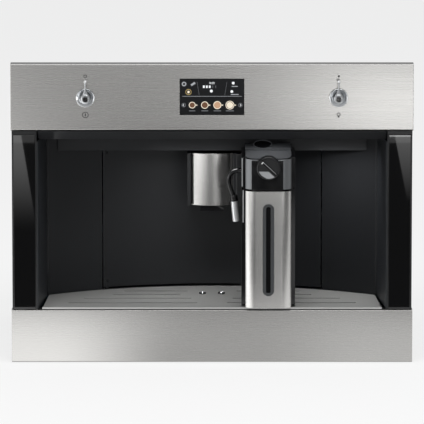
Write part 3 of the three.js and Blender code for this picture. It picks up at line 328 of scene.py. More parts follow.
class Look(Enum):
    """The machine's finishes."""

    # 1.4301 sheet, ground with a belt along X. The real grit lines are 0.1 mm apart, too fine
    # to show here, so they are drawn 1.1 mm apart: soft level streaks and a wide upright sheen.
    STEEL = Finish(
        "brushed_stainless_sheet", "#A2A19F", metallic=1.0, roughness=0.27, anisotropic=0.5,
        pitch_mm=(160, 1.1, 1.1), detail=3.0, tint=0.014, gloss_change=0.014, relief_mm=0.0007,
    )
    # The jug's and spout's drawn sheet is ground round the curve and a little smoother.
    DRAWN_STEEL = Finish(
        "brushed_stainless_drawn", "#B9B8B6", metallic=1.0, roughness=0.24, anisotropic=0.35,
        pitch_mm=(90, 90, 1.1), detail=3.0, tint=0.02, gloss_change=0.03, relief_mm=0.002,
    )
    # Cup plate: the same sheet, duller from washing.
    PLATE_STEEL = Finish(
        "brushed_stainless_plate", "#B4B4B2", metallic=0.35, roughness=0.42, anisotropic=0.4,
        pitch_mm=(160, 1.3, 1.3), detail=3.0, gloss_change=0.04, relief_mm=0.004,
    )
    # Zinc die casting, copper-nickel-chrome plated: a mirror with a trace of unevenness.
    CHROME = Finish(
        "bright_chrome_plate", "#DADCDE", metallic=1.0, roughness=0.06,
        pitch_mm=(9, 9, 9), tint=0.01, gloss_change=0.02,
    )
    # Drawn nozzle tube, polished and then worn to a soft bright sheen.
    NOZZLE_TUBE = Finish(
        "polished_nozzle_tube", "#EDEEEF", metallic=0.45, roughness=0.24,
        pitch_mm=(4, 4, 30), gloss_change=0.04,
    )
    # The jug's lid: graphite lacquer with a fine flake.
    LID_LACQUER = Finish(
        "graphite_lacquered_abs", "#424447", roughness=0.62, specular=0.25,
        pitch_mm=(1.0, 1.0, 1.0), tint=0.05,
    )
    # Pale grey paint for painted light: highlights down the jug's left shoulder and along the dial's grip, and a
    # painted reflection on the dial's face.
    PAINTED_LIGHT_GREY = Finish(
        "pale_grey_painted_light", "#A6A8AA", metallic=0.25, roughness=0.35, pitch_mm=(1.1, 1.1, 1.1),
    )
    # The lever itself is bead-blasted before plating: a soft grey metal.
    SATIN_CHROME = Finish(
        "satin_chrome_plate", "#B4B6B8", metallic=1.0, roughness=0.3,
        tint=0.02, gloss_change=0.04, relief_mm=0.002,
    )
    # Float glass, painted black on its back: deep black under a mirror-smooth face.
    BLACK_GLASS = Finish(
        "black_backed_glass", "#050506", roughness=0.02,
        pitch_mm=(60, 60, 60), tint=0.05, gloss_change=0.006,
    )
    # Display cover: black glass with an anti-glare coat.
    SCREEN_GLASS = Finish(
        "display_cover_glass", "#101114", roughness=0.16, specular=0.2,
        pitch_mm=(30, 30, 30), tint=0.05, gloss_change=0.02,
    )
    # Niche lining: powder-coated sheet, dark grey, with a fine orange peel.
    LINING = Finish(
        "graphite_powder_coat", "#222325", roughness=0.42, specular=0.2,
        pitch_mm=(2.4, 2.4, 2.4), detail=3.0, tint=0.06, relief_mm=0.004,
    )
    # The niche's side walls: the same graphite coat in a lighter grey, painted light for the light that falls on them.
    LINING_PAINTED_LIGHTER = Finish(
        "graphite_coat_painted_lighter", "#303235", roughness=0.42, specular=0.3,
        pitch_mm=(2.4, 2.4, 2.4), detail=3.0, tint=0.06, relief_mm=0.004,
    )
    # ABS from a spark-eroded mould: a fine even grain that breaks up the gloss.
    BLACK_ABS = Finish(
        "moulded_black_abs", "#111214", roughness=0.36, ior=1.53, specular=0.35,
        pitch_mm=(1.1, 1.1, 1.1), tint=0.08, gloss_change=0.06, relief_mm=0.006,
    )
    # The same ABS from a polished mould.
    GLOSS_ABS = Finish(
        "polished_black_abs", "#0B0B0D", roughness=0.1, ior=1.53, specular=0.45,
        pitch_mm=(14, 14, 14), tint=0.06, gloss_change=0.03,
    )
    # The window's frame: the same grain in grey.
    GREY_ABS = Finish(
        "moulded_grey_abs", "#3B3D3F", roughness=0.42, ior=1.53, specular=0.35,
        pitch_mm=(1.1, 1.1, 1.1), tint=0.06, relief_mm=0.006,
    )
    # Metallic lacquer on ABS: flakes give a slightly restless silver.
    SILVER_LACQUER = Finish(
        "silver_lacquered_abs", "#6F7173", metallic=0.75, roughness=0.34,
        pitch_mm=(1.0, 1.0, 1.0), tint=0.05,
    )
    # Hot-dip galvanised sheet: spangles about 9 mm across.
    ZINC = Finish(
        "galvanised_sheet", "#9DA2A5", metallic=0.9, roughness=0.44, pitch_mm=(9, 9, 9),
        tint=0.07, gloss_change=0.07, cells=True,
    )
    # Clear styrene, smoke tinted.
    CLEAR_STYRENE = Finish(
        "smoke_clear_styrene", "#B9C4CA", roughness=0.08, ior=1.57, transmission=0.85,
        pitch_mm=(40, 40, 40), gloss_change=0.02,
    )
    # Opal acrylic of the niche's lamp.
    FROSTED_LENS = Finish(
        "frosted_lamp_lens", "#D9D8D2", roughness=0.5, ior=1.49, transmission=0.3, tint=0.02,
    )
    # Die-cast aluminium, left as cast.
    CAST_METAL = Finish(
        "as_cast_aluminium", "#8C8F92", metallic=0.9, roughness=0.5, pitch_mm=(2, 2, 2),
        detail=4.0, tint=0.08, gloss_change=0.08, relief_mm=0.03,
    )
    # The board's varnish, the prints, and the display's lit colours.
    CIRCUIT = Finish("solder_resist_green", "#1C4A32", roughness=0.35, pitch_mm=(3, 3, 3), tint=0.1)
    INK = Finish("baked_printing_ink", "#202122", roughness=0.6, pitch_mm=(2, 2, 2), tint=0.05)
    PALE_MARK = Finish("pale_pad_print", "#DDDEDD", roughness=0.55, pitch_mm=(2, 2, 2), tint=0.02)
    LIT_WHITE = Finish("lit_display_white", "#D6D8DA", glow=0.55, tint=0.02)
    LIT_GREY = Finish("lit_display_grey", "#5A5C60", glow=0.5, tint=0.02)
    LIT_PALE = Finish("lit_display_pale", "#96989C", glow=0.5, tint=0.02)
    LIT_AMBER = Finish("lit_display_amber", "#A8925A", glow=0.5, tint=0.02)
    LIT_CREAM = Finish("lit_display_cream", "#D8CDBB", glow=0.5, tint=0.02)
    LIT_COFFEE = Finish("lit_display_coffee", "#5B3A22", glow=0.5, tint=0.04)
    LIT_MILK = Finish("lit_display_latte", "#B08A6C", glow=0.5)


# ---------------- hands
def activate(piece: Piece) -> None:
    """Select one object alone and make it the active one.

    Args:
        piece: The object.
    """
    bpy.ops.object.select_all(action="DESELECT")
    piece.select_set(True)
    bpy.context.view_layer.objects.active = piece


@contextmanager
def edit(piece: Piece) -> Iterator[bmesh.types.BMesh]:
    """Work in edit mode on one object with everything selected at first.

    Args:
        piece: The mesh object.

    Yields:
        The mesh under edit, for choosing faces by their place.
    """
    activate(piece)
    bpy.ops.object.mode_set(mode="EDIT")
    bpy.ops.mesh.select_mode(type="VERT")
    bpy.ops.mesh.select_all(action="SELECT")
    yield bmesh.from_edit_mesh(piece.data)
    bpy.ops.object.mode_set(mode="OBJECT")


def named(piece: Piece, name: str) -> Piece:
    """Give an object and its mesh one name."""
    piece.name = piece.data.name = name
    return piece


def settle(piece: Piece) -> Piece:
    """Put a piece's place, turn and size into its mesh, so its object sits at the origin.

    Args:
        piece: The mesh object.

    Returns:
        The same object.
    """
    activate(piece)
    bpy.ops.object.transform_apply(location=True, rotation=True, scale=True)
    return piece


def placed(piece: Piece, place: Sequence[float], turn_deg: Sequence[float] = (0, 0, 0)) -> Piece:
    """Turn a piece, bring it to its place and settle it.

    Args:
        piece: The mesh object.
        place: Where its origin goes.
        turn_deg: Its turn about X, Y and Z.

    Returns:
        The same object.
    """
    piece.rotation_euler = [math.radians(angle) for angle in turn_deg]
    piece.location = place
    return settle(piece)


def modify(piece: Piece, kind: str, **settings: object) -> None:
    """Add a modifier, set it and apply it.

    Args:
        piece: The mesh object.
        kind: The modifier's type name.
        **settings: Its attributes.
    """
    activate(piece)
    modifier = piece.modifiers.new(kind.lower(), kind)
    for key, value in settings.items():
        setattr(modifier, key, value)
    bpy.ops.object.modifier_apply(modifier=modifier.name)


def cut(piece: Piece, tool: Piece) -> None:
    """Cut one object out of another and throw the tool away."""
    modify(piece, "BOOLEAN", operation="DIFFERENCE", object=tool, solver="EXACT")
    bpy.data.objects.remove(tool)


def soften(piece: Piece, width_mm: float, segments: int = 2, angle: float = 32) -> None:
    """Break the sharp edges and shade the rest smoothly.

    Args:
        piece: The mesh object.
        width_mm: The edge's width; zero leaves the edges as they are.
        segments: Steps across the edge.
        angle: Edges sharper than this many degrees are broken.
    """
    if width_mm:
        modify(
            piece, "BEVEL", width=width_mm * MM, segments=segments, limit_method="ANGLE",
            angle_limit=math.radians(angle), use_clamp_overlap=True, miter_outer="MITER_ARC",
        )
    activate(piece)
    bpy.ops.object.shade_smooth_by_angle(angle=math.radians(angle + 4))
    modify(piece, "WEIGHTED_NORMAL", keep_sharp=True, weight=50)


def outward(piece: Piece) -> None:
    """Merge doubled points and turn every face outwards.

    Args:
        piece: The mesh object.
    """
    with edit(piece):
        bpy.ops.mesh.remove_doubles(threshold=WELD)
        bpy.ops.mesh.normals_make_consistent(inside=False)


def joined(pieces: Sequence[Piece], name: str) -> Piece:
    """Join objects into one.

    Args:
        pieces: Mesh objects, all settled at the origin.
        name: The new name.

    Returns:
        The joined object.
    """
    activate(pieces[0])
    for piece in pieces:
        piece.select_set(True)
    if len(pieces) > 1:
        bpy.ops.object.join()
    return named(bpy.context.view_layer.objects.active, name)


class Axis(Enum):
    """The way a turned piece points, as the turn in degrees that brings +Z there."""

    UP = (0, 0, 0)
    FRONT = (90, 0, 0)
    BACK = (-90, 0, 0)
    LEFT = (0, -90, 0)
    RIGHT = (0, 90, 0)


def turned(
    name: str,
    profile_mm: Profile,
    centre: Vector,
    axis: Axis = Axis.FRONT,
    segments: int = 64,
    smooth: float = 0.0,
) -> Piece:
    """Turn a piece: a circle is extruded and resized from step to step.

    Args:
        name: The new object's name.
        profile_mm: Radius and distance along the axis for each step. One that ends where it
            starts goes round an open bore.
        centre: Where the axis starts.
        axis: The way it points.
        segments: Sides of the circle.
        smooth: Edges up to this many degrees are shaded smoothly; zero leaves all flat.

    Returns:
        The finished object at the origin.
    """
    radius, along = profile_mm[0]
    fill = "NOTHING" if profile_mm[0] == profile_mm[-1] else "NGON"
    bpy.ops.mesh.primitive_circle_add(
        vertices=segments, radius=radius * MM, fill_type=fill, location=(0, 0, along * MM)
    )
    piece = settle(named(bpy.context.object, name))
    with edit(piece):
        for next_radius, next_along in profile_mm[1:]:
            step = {"value": (0, 0, (next_along - along) * MM)}
            bpy.ops.mesh.extrude_region_move(TRANSFORM_OT_translate=step)
            ratio = next_radius / radius
            if abs(ratio - 1) > 1e-9:
                middle = (0, 0, next_along * MM)
                bpy.ops.transform.resize(value=(ratio, ratio, 1), center_override=middle)
            radius, along = next_radius, next_along
    outward(piece)
    placed(piece, centre, axis.value)
    if smooth:
        soften(piece, 0.0, angle=smooth)
    return piece


def block(name: str, low: Sequence[float], high: Sequence[float], corner_mm: float = 0.0) -> Piece:
    """Shape a box between two corners, with its edges rounded.

    Args:
        name: The new object's name.
        low: Its lowest corner.
        high: Its highest corner.
        corner_mm: Radius of its edges.

    Returns:
        The finished object at the origin.
    """
    bpy.ops.mesh.primitive_cube_add(size=1, location=[(a + b) / 2 for a, b in zip(low, high)])
    piece = named(bpy.context.object, name)
    piece.scale = [b - a for a, b in zip(low, high)]
    settle(piece)
    if corner_mm:
        soften(piece, corner_mm, 3)
    return piece


def linked(name: str, data: bpy.types.ID) -> Piece:
    """Add an object to the scene.

    Args:
        name: Its name.
        data: Its mesh, curve, camera or lamp.

    Returns:
        The object.
    """
    piece = bpy.data.objects.new(name, data)
    bpy.context.collection.objects.link(piece)
    return piece


def coat(piece: Piece, look: Look) -> None:
    """Give a piece a finish in place of what it has."""
    piece.data.materials.clear()
    piece.data.materials.append(look.value.make())


def copied(master: Piece, place: Sequence[float], turn_deg: Sequence[float]) -> Piece:
    """Set a turned copy of a piece at a place."""
    return placed(linked(master.name, master.data.copy()), place, turn_deg)


def meshed(piece: Piece, name: str) -> Piece:
    """Turn a curve or text object into a mesh object.

    Args:
        piece: The curve or text object.
        name: The mesh object's name.

    Returns:
        The mesh object, settled.
    """
    activate(piece)
    bpy.ops.object.convert(target="MESH")
    return settle(named(bpy.context.object, name))


# ---------------- the frame
class Box(NamedTuple):
    """A node's lowest and highest corners at rest."""

    low: Vector
    high: Vector

    @property
    def x(self) -> float:
        """The middle across."""
        return (self.low.x + self.high.x) / 2

    @property
    def z(self) -> float:
        """The middle's height."""
        return (self.low.z + self.high.z) / 2

    @property
    def half(self) -> float:
        """Half the width across."""
        return (self.high.x - self.low.x) / 2


@dataclass
class Workshop:
    """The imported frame, and how a piece is taken from it or fitted to it."""

    frame: dict = field(default_factory=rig.load)

    @property
    def front(self) -> float:
        """Where the control panel's face stands along Y."""
        return self.box("control_panel").low.y

    def body_of(self, node: str) -> str:
        """Name the body that a node belongs to."""
        bodies = self.frame["record"]["behaviour"]["bodies"]
        return next(body for body, nodes in bodies.items() if node in nodes)

    def slot_of(self, node: str) -> str:
        """Name the record's material slot of a node."""
        rows = self.frame["record"]["subparts"]
        return next(row["material_slot"] for row in rows if row["node"] == node)

    def box(self, node: str) -> Box:
        """Give a node's box at rest."""
        low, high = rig.box(node)
        return Box(Vector(low), Vector(high))

    def refined(self, node: str, name: str, look: Look, edge_mm: float, segments: int = 2) -> Piece:
        """Take a copy of a node, clean its faces, round its edges and let it stand for the node.

        Args:
            node: The node's name.
            name: The new piece's name.
            look: Its finish.
            edge_mm: Width of its rounded edges.
            segments: Steps across them.

        Returns:
            The new piece.
        """
        source = self.frame["nodes"][node]
        piece = source.copy()
        piece.data = source.data.copy()
        bpy.context.collection.objects.link(piece)
        named(piece, name)
        with edit(piece):
            bpy.ops.mesh.remove_doubles(threshold=FRAME_WELD)
            bpy.ops.mesh.dissolve_limited(angle_limit=math.radians(FLAT_DEG))
        soften(piece, edge_mm, segments)
        return self.fit(piece, node, look, replaces=True)

    def fit(self, piece: Piece, node: str, look: Look, replaces: bool = False) -> Piece:
        """Dress a piece and make it ride with a node's body.

        Args:
            piece: The piece, at the origin.
            node: The node that carries it or that it stands for.
            look: Its finish.
            replaces: True if the piece stands for the node.

        Returns:
            The same piece.
        """
        coat(piece, look)
        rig.ride(piece, self.body_of(node))
        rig.slot(piece, self.slot_of(node))
        if replaces:
            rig.replaces(piece, node)
        LOG.info("%s rides on %s", piece.name, self.body_of(node))
        return piece

    def dress(self, look: Look, node: str) -> None:
        """Give a CAD node that stays a finish of this scene."""
        coat(self.frame["nodes"][node], look)


Rows = tuple[tuple, ...]


def both(node: str, name: str, *rest: object) -> Rows:
    """Write a row for the left side and one for the right, from names without a side."""
    return tuple((f"{node}_{side}", f"{name}_{side}", *rest) for side, _ in SIDES)


@dataclass
class SubAssembly:
    """A group of pieces.

    Each row of rounded names a node whose solid is only rounded: the node, its piece, the finish,
    the edge's width in millimetres and the steps across it. The other pieces are shaped by details.
    """

    shop: Workshop
    rounded: Rows = ()

    def build(self) -> None:
        """Round the listed nodes, then add what the group shapes itself."""
        for row in self.rounded:
            self.shop.refined(*row)
        self.details()

    def details(self) -> None:
        """Shape the group's own pieces. A group without any leaves this as it is."""


# ---------------- the front
@dataclass
class Prints:
    """Thin marks on the front, set out in millimetres from a point on it."""

    centre: Vector
    film_mm: float
    sides: int

    def disc(self, x_mm: float, z_mm: float, outer_mm: float, inner_mm: float = 0.0) -> Piece:
        """Lay a disc or a ring.

        Args:
            x_mm: Place right of the centre.
            z_mm: Place above the centre.
            outer_mm: Outer radius.
            inner_mm: Bore, or zero for a disc.

        Returns:
            The mark.
        """
        profile = [(outer_mm, 0.0), (outer_mm, self.film_mm)]
        if inner_mm:
            profile = [(inner_mm, 0.0), *profile, (inner_mm, self.film_mm), (inner_mm, 0.0)]
        place = self.centre + Vector((x_mm, 0, z_mm)) * MM
        return turned("mark", profile, place, Axis.FRONT, self.sides)

    def bar(
        self, x_mm: float, z_mm: float, wide_mm: float, tall_mm: float, turn: float = 0.0
    ) -> Piece:
        """Lay a straight mark.

        Args:
            x_mm: Place right of the centre.
            z_mm: Place above the centre.
            wide_mm: Width.
            tall_mm: Height.
            turn: Turn in degrees.

        Returns:
            The mark.
        """
        half = Vector((wide_mm, self.film_mm, tall_mm)) * MM / 2
        place = self.centre + Vector((x_mm, -self.film_mm / 2, z_mm)) * MM
        return placed(block("mark", -half, half), place, (0, turn, 0))


@dataclass
class ControlFront(SubAssembly):
    """Steel control panel with its display cover and printed signs."""

    rounded: Rows = (
        ("control_panel", "control_fascia", Look.STEEL, 0.5, 3),
        ("display_glass", "display_window", Look.SCREEN_GLASS, 0.4),
    )
    rise_mm: float = 32.2
    drop_mm: float = 25.8
    print_mm: float = 0.08

    def details(self) -> None:
        """Print the four general signs: spot, mains ring with its bar, drop and lamp."""
        ink = Prints(
            Vector((0, self.shop.front, self.shop.box("rosette_left").z)), self.print_mm, 40
        )
        left = self.shop.box("lever_left").x / MM
        low = -self.drop_mm
        signs = [
            ink.disc(left, self.rise_mm, 2.6, 1.6),
            ink.disc(left, low, 4.7, 3.7),
            ink.bar(left, low, 1.4, 4.4),
            ink.bar(-left, self.rise_mm, 2.8, 2.8, 45),
            ink.disc(-left, low + 0.8, 2.7, 1.7),
            ink.bar(-left, low - 2.8, 2.2, 1.8),
        ]
        self.shop.fit(joined(signs, "panel_symbols"), "control_panel", Look.INK)


@dataclass
class Display(SubAssembly):
    """The lit picture on the display: plain marks of its own, in the usual colours."""

    film_mm: float = 0.1
    cup_pitch_mm: float = 18.6
    cup_level_mm: float = -12.2
    bar_pitch_mm: float = 4.4

    def details(self) -> None:
        """Build all marks, one piece for each colour."""
        low, high = self.shop.box("display_glass")
        middle = (low + high) / 2
        self.ink = Prints(Vector((middle.x, low.y, middle.z)), self.film_mm, 28)
        self.groups: dict[Look, list[Piece]] = {}
        self.upper_half()
        self.lower_half()
        for look, parts in self.groups.items():
            self.shop.fit(joined(parts, look.value.name + "_marks"), "display_glass", look)

    def keep(self, look: Look, *marks: Piece) -> None:
        """Set marks aside for the piece of their colour."""
        self.groups.setdefault(look, []).extend(marks)

    def clock(self, z_mm: float, height_mm: float) -> Piece:
        """Set plain clock numbers as a flat mesh.

        Args:
            z_mm: Place above the display's centre.
            height_mm: Height of the numbers.

        Returns:
            The numbers.
        """
        bpy.ops.object.text_add()
        text = bpy.context.object
        text.data.body = "8:00"
        text.data.size = height_mm * MM * 1.35
        text.data.align_x = "CENTER"
        text.data.extrude = self.film_mm * MM / 2
        place = self.ink.centre + Vector((0, -self.film_mm / 2, z_mm)) * MM
        return placed(meshed(text, "mark"), place, Axis.FRONT.value)

    def upper_half(self) -> None:
        """Clock, strength bars and status marks."""
        disc, bar = self.ink.disc, self.ink.bar
        self.keep(Look.LIT_PALE, bar(0, 1.0, 88, 0.5))
        self.keep(Look.LIT_WHITE, self.clock(19.4, 3.4))
        for step in range(5):
            look, wide = (Look.LIT_WHITE, 2.7) if step < 3 else (Look.LIT_GREY, 0.8)
            self.keep(look, bar(step * self.bar_pitch_mm - 12.1, 15.3, wide, 3.8))
        self.keep(Look.LIT_WHITE, disc(-1, 8.9, 2.2), disc(31.4, 20.8, 2.1), disc(29.4, 8.2, 2.1))
        self.keep(Look.LIT_GREY, *(bar(s * 20.5, 12.5, 0.4, 20, s * 9) for s in (-1, 1)))
        self.keep(Look.LIT_PALE, disc(-41.4, 19.4, 3.4, 1.8), bar(-28, 19.4, 7.0, 3.0, -35))
        self.keep(Look.LIT_PALE, bar(33.6, 15.8, 9.0, 1.1), bar(33.6, 3.7, 11.6, 1.1))
        self.keep(Look.LIT_AMBER, disc(-34.8, 7.4, 4.4, 3.6))
        self.keep(Look.LIT_CREAM, disc(-34.8, 7.4, 1.9))

    def lower_half(self) -> None:
        """Four cups seen from above, and an arrow at either end."""
        disc, bar, z = self.ink.disc, self.ink.bar, self.cup_level_mm
        fills = (Look.LIT_COFFEE, Look.LIT_COFFEE, Look.LIT_MILK, Look.LIT_CREAM)
        for step, fill in enumerate(fills):
            x = (step - 1.5) * self.cup_pitch_mm - 1.4
            outer = 5.0 + 0.5 * step
            inner = outer - (1.8 if fill is Look.LIT_CREAM else 1.2)
            handle = bar(x + outer + 1.4, z, 2.4, 1.4)
            self.keep(Look.LIT_CREAM, disc(x, z, outer, outer - 1.1), handle)
            self.keep(fill, disc(x, z, inner))
            self.keep(Look.LIT_GREY, bar(x, z - 8.6, 9.0 + step, 1.3))
        for sign in (-1, 1):
            self.keep(Look.LIT_GREY, disc(sign * 42, z, 3.2, 2.5))
            for tilt in (-1, 1):
                arm = bar(sign * 42.4, z + tilt * 0.8, 2.4, 0.7, tilt * sign * 42)
                self.keep(Look.LIT_WHITE, arm)


@dataclass
class Lever(SubAssembly):
    """A sprung lever on its dished rosette."""

    side: str = "left"
    tail_flat: float = 0.55
    dish_deg: float = 14.0
    smooth_deg: float = 50.0

    def details(self) -> None:
        """Build the rosette, then the lever with its ball and cap."""
        self.rosette()
        self.handle()

    def rosette(self) -> None:
        """Turn the dished chrome disc with its rolled rim."""
        node = f"rosette_{self.side}"
        disc, face = self.shop.box(node), self.shop.front
        radius = disc.half / MM
        rim = (face - disc.low.y) / MM
        bore = radius * 0.53
        foot, lip = bore + 0.5, radius - 1.1
        start = rim * 0.95 - (lip - foot) * math.tan(math.radians(self.dish_deg))
        profile = [
            (bore, -8.0), (bore, start - 0.2), (foot, start), (lip, rim * 0.95),
            (radius - 0.7, rim), (radius - 0.3, rim * 0.97), (radius, rim * 0.85), (radius, 0.1),
            (radius - 3.6, 0.1), (radius - 3.8, -8.0), (bore, -8.0),
        ]
        centre = Vector((disc.x, face, disc.z))
        piece = turned(f"{node}_dish", profile, centre, Axis.FRONT, 96, self.smooth_deg)
        self.shop.fit(piece, node, Look.CHROME, replaces=True)

    def handle(self) -> None:
        """Turn the hub, the cap and the tapering tail with its ball."""
        node = f"lever_{self.side}"
        lever = self.shop.box(node)
        x, z, back = lever.x, self.shop.box(f"rosette_{self.side}").z, lever.high.y
        front = (back - lever.low.y) / MM - 6.9
        hub_profile = [
            (3.2, 0.4), (4.1, 1.2), (4.1, front - 7.2), (6.0, front - 6.9), (6.8, front - 5.8),
            (7.2, front - 4.0), (7.2, front - 1.9), (6.8, front - 0.7), (5.6, front),
            (4.2, front + 0.2),
        ]
        hub = turned("hub", hub_profile, Vector((x, back, z)), Axis.FRONT, 72)
        middle = back - (front - 3.4) * MM
        tail_profile = [
            (6.6, 1.0), (6.1, 3.4), (4.7, 6.4), (3.0, 9.2), (1.8, 11.8), (1.15, 14.6),
            (0.95, 18.0), (0.95, 22.6), (1.2, 23.3), (1.9, 24.0), (2.2, 25.2), (2.0, 26.3),
            (1.2, 27.2), (0.4, 27.5),
        ]
        tail = turned("tail", tail_profile, ORIGIN, Axis.UP, 32)
        tail.scale = (1, self.tail_flat, 1)
        placed(tail, (x, middle, z))
        handle = joined([hub, tail], f"{node}_handle")
        soften(handle, 0.0, angle=self.smooth_deg)
        self.shop.fit(handle, node, Look.SATIN_CHROME, replaces=True)
        ball = [
            (0.5, -1.9), (1.5, -1.5), (2.1, -0.7), (2.25, 0.2), (1.9, 1.2), (1.1, 1.9), (0.4, 2.2),
        ]
        cap = [(3.9, 0.0), (3.9, 5.6), (3.6, 6.3), (2.9, 6.7), (1.6, 6.5), (0.5, 6.45)]
        end, nose = Vector((x, middle, z + 25.3 * MM)), Vector((x, back - front * MM, z))
        for name, profile, centre, axis, sides, look in (
            (f"{node}_ball", ball, end, Axis.UP, 32, Look.NOZZLE_TUBE),
            (f"{node}_cap", cap, nose, Axis.FRONT, 48, Look.GLOSS_ABS),
        ):
            piece = turned(name, profile, centre, axis, sides, self.smooth_deg)
            self.shop.fit(piece, node, look)


@dataclass
class SideColumns(SubAssembly):
    """Black glass strips beside the niche and the plastic stiles behind them."""

    rounded: Rows = (
        *both("column_glass", "glass_strip", Look.BLACK_GLASS, 0.6, 3),
        *both("frame_stile", "stile", Look.BLACK_ABS, 0.5),
    )


# ---------------- the niche
@dataclass
class Niche(SubAssembly):
    """Lining of the cup niche: walls, hood, header and lamp."""

    rounded: Rows = (
        # The side walls take the lining's lighter copy: painted light.
        *both("niche_wall", "lining_side", Look.LINING_PAINTED_LIGHTER, 0.25),
        *both("back_wall", "lining_back", Look.LINING, 0.4),
        ("hood_shell", "hood_lining", Look.LINING, 0.3),
        ("header_panel", "header_lining", Look.LINING, 0.3),
        ("hood_lamp", "lamp_lens", Look.FROSTED_LENS, 0.8, 3),
        ("door_sill", "sill_sheet", Look.LINING, 0.3),
    )


@dataclass
class TrayDrawer(SubAssembly):
    """The drawer: steel front, drip basin, cup plate and grounds bin."""

    rounded: Rows = (
        ("lower_panel", "drawer_fascia", Look.STEEL, 0.5, 3),
        ("cup_plate", "cup_grid", Look.PLATE_STEEL, 0.3),
        ("drip_basin", "drip_tray", Look.BLACK_ABS, 0.5),
        ("tray_bearer", "plate_bearer", Look.BLACK_ABS, 0.2),
        ("grounds_bin", "grounds_box", Look.BLACK_ABS, 0.6),
    )
    eyelet_x_mm: float = 14.2
    eyelet_depth_mm: float = 118.0

    def details(self) -> None:
        """Set a black grommet with a chrome rim round each drain hole of the plate."""
        top = self.shop.box("cup_plate").high.z - MM
        y = self.shop.front + self.eyelet_depth_mm * MM
        grommet = [
            (3.9, -0.1), (3.9, 1.2), (4.2, 1.5), (5.0, 1.5), (5.3, 1.2), (5.3, -0.1), (3.9, -0.1),
        ]
        rim = [(4.2, 1.45), (4.2, 1.7), (4.5, 2.0), (4.9, 1.9), (5.1, 1.45), (4.2, 1.45)]
        for name, look, profile in (
            ("drain_grommets", Look.BLACK_ABS, grommet), ("drain_eyelets", Look.CHROME, rim),
        ):
            places = [Vector((sign * self.eyelet_x_mm * MM, y, top)) for _, sign in SIDES]
            rings = [turned("ring", profile, place, Axis.UP, 40) for place in places]
            piece = joined(rings, name)
            soften(piece, 0.0, angle=50)
            self.shop.fit(piece, "cup_plate", look)


# ---------------- the service door
@dataclass
class ServiceDoor(SubAssembly):
    """Curved service door with the dispensing block and the milk port."""

    rounded: Rows = (
        ("service_door", "door_lining", Look.LINING, 0.6, 3),
        ("dispensing_block", "dispenser_housing", Look.BLACK_ABS, 0.8, 3),
        ("milk_port", "steam_port", Look.CHROME, 0.2),
    )


@dataclass
class CoffeeSpout(SubAssembly):
    """Height-adjustable coffee spout."""

    rounded: Rows = (
        ("spout_cover", "spout_sheet", Look.DRAWN_STEEL, 0.4),
        ("spout_body", "spout_core", Look.GLOSS_ABS, 0.5),
    )


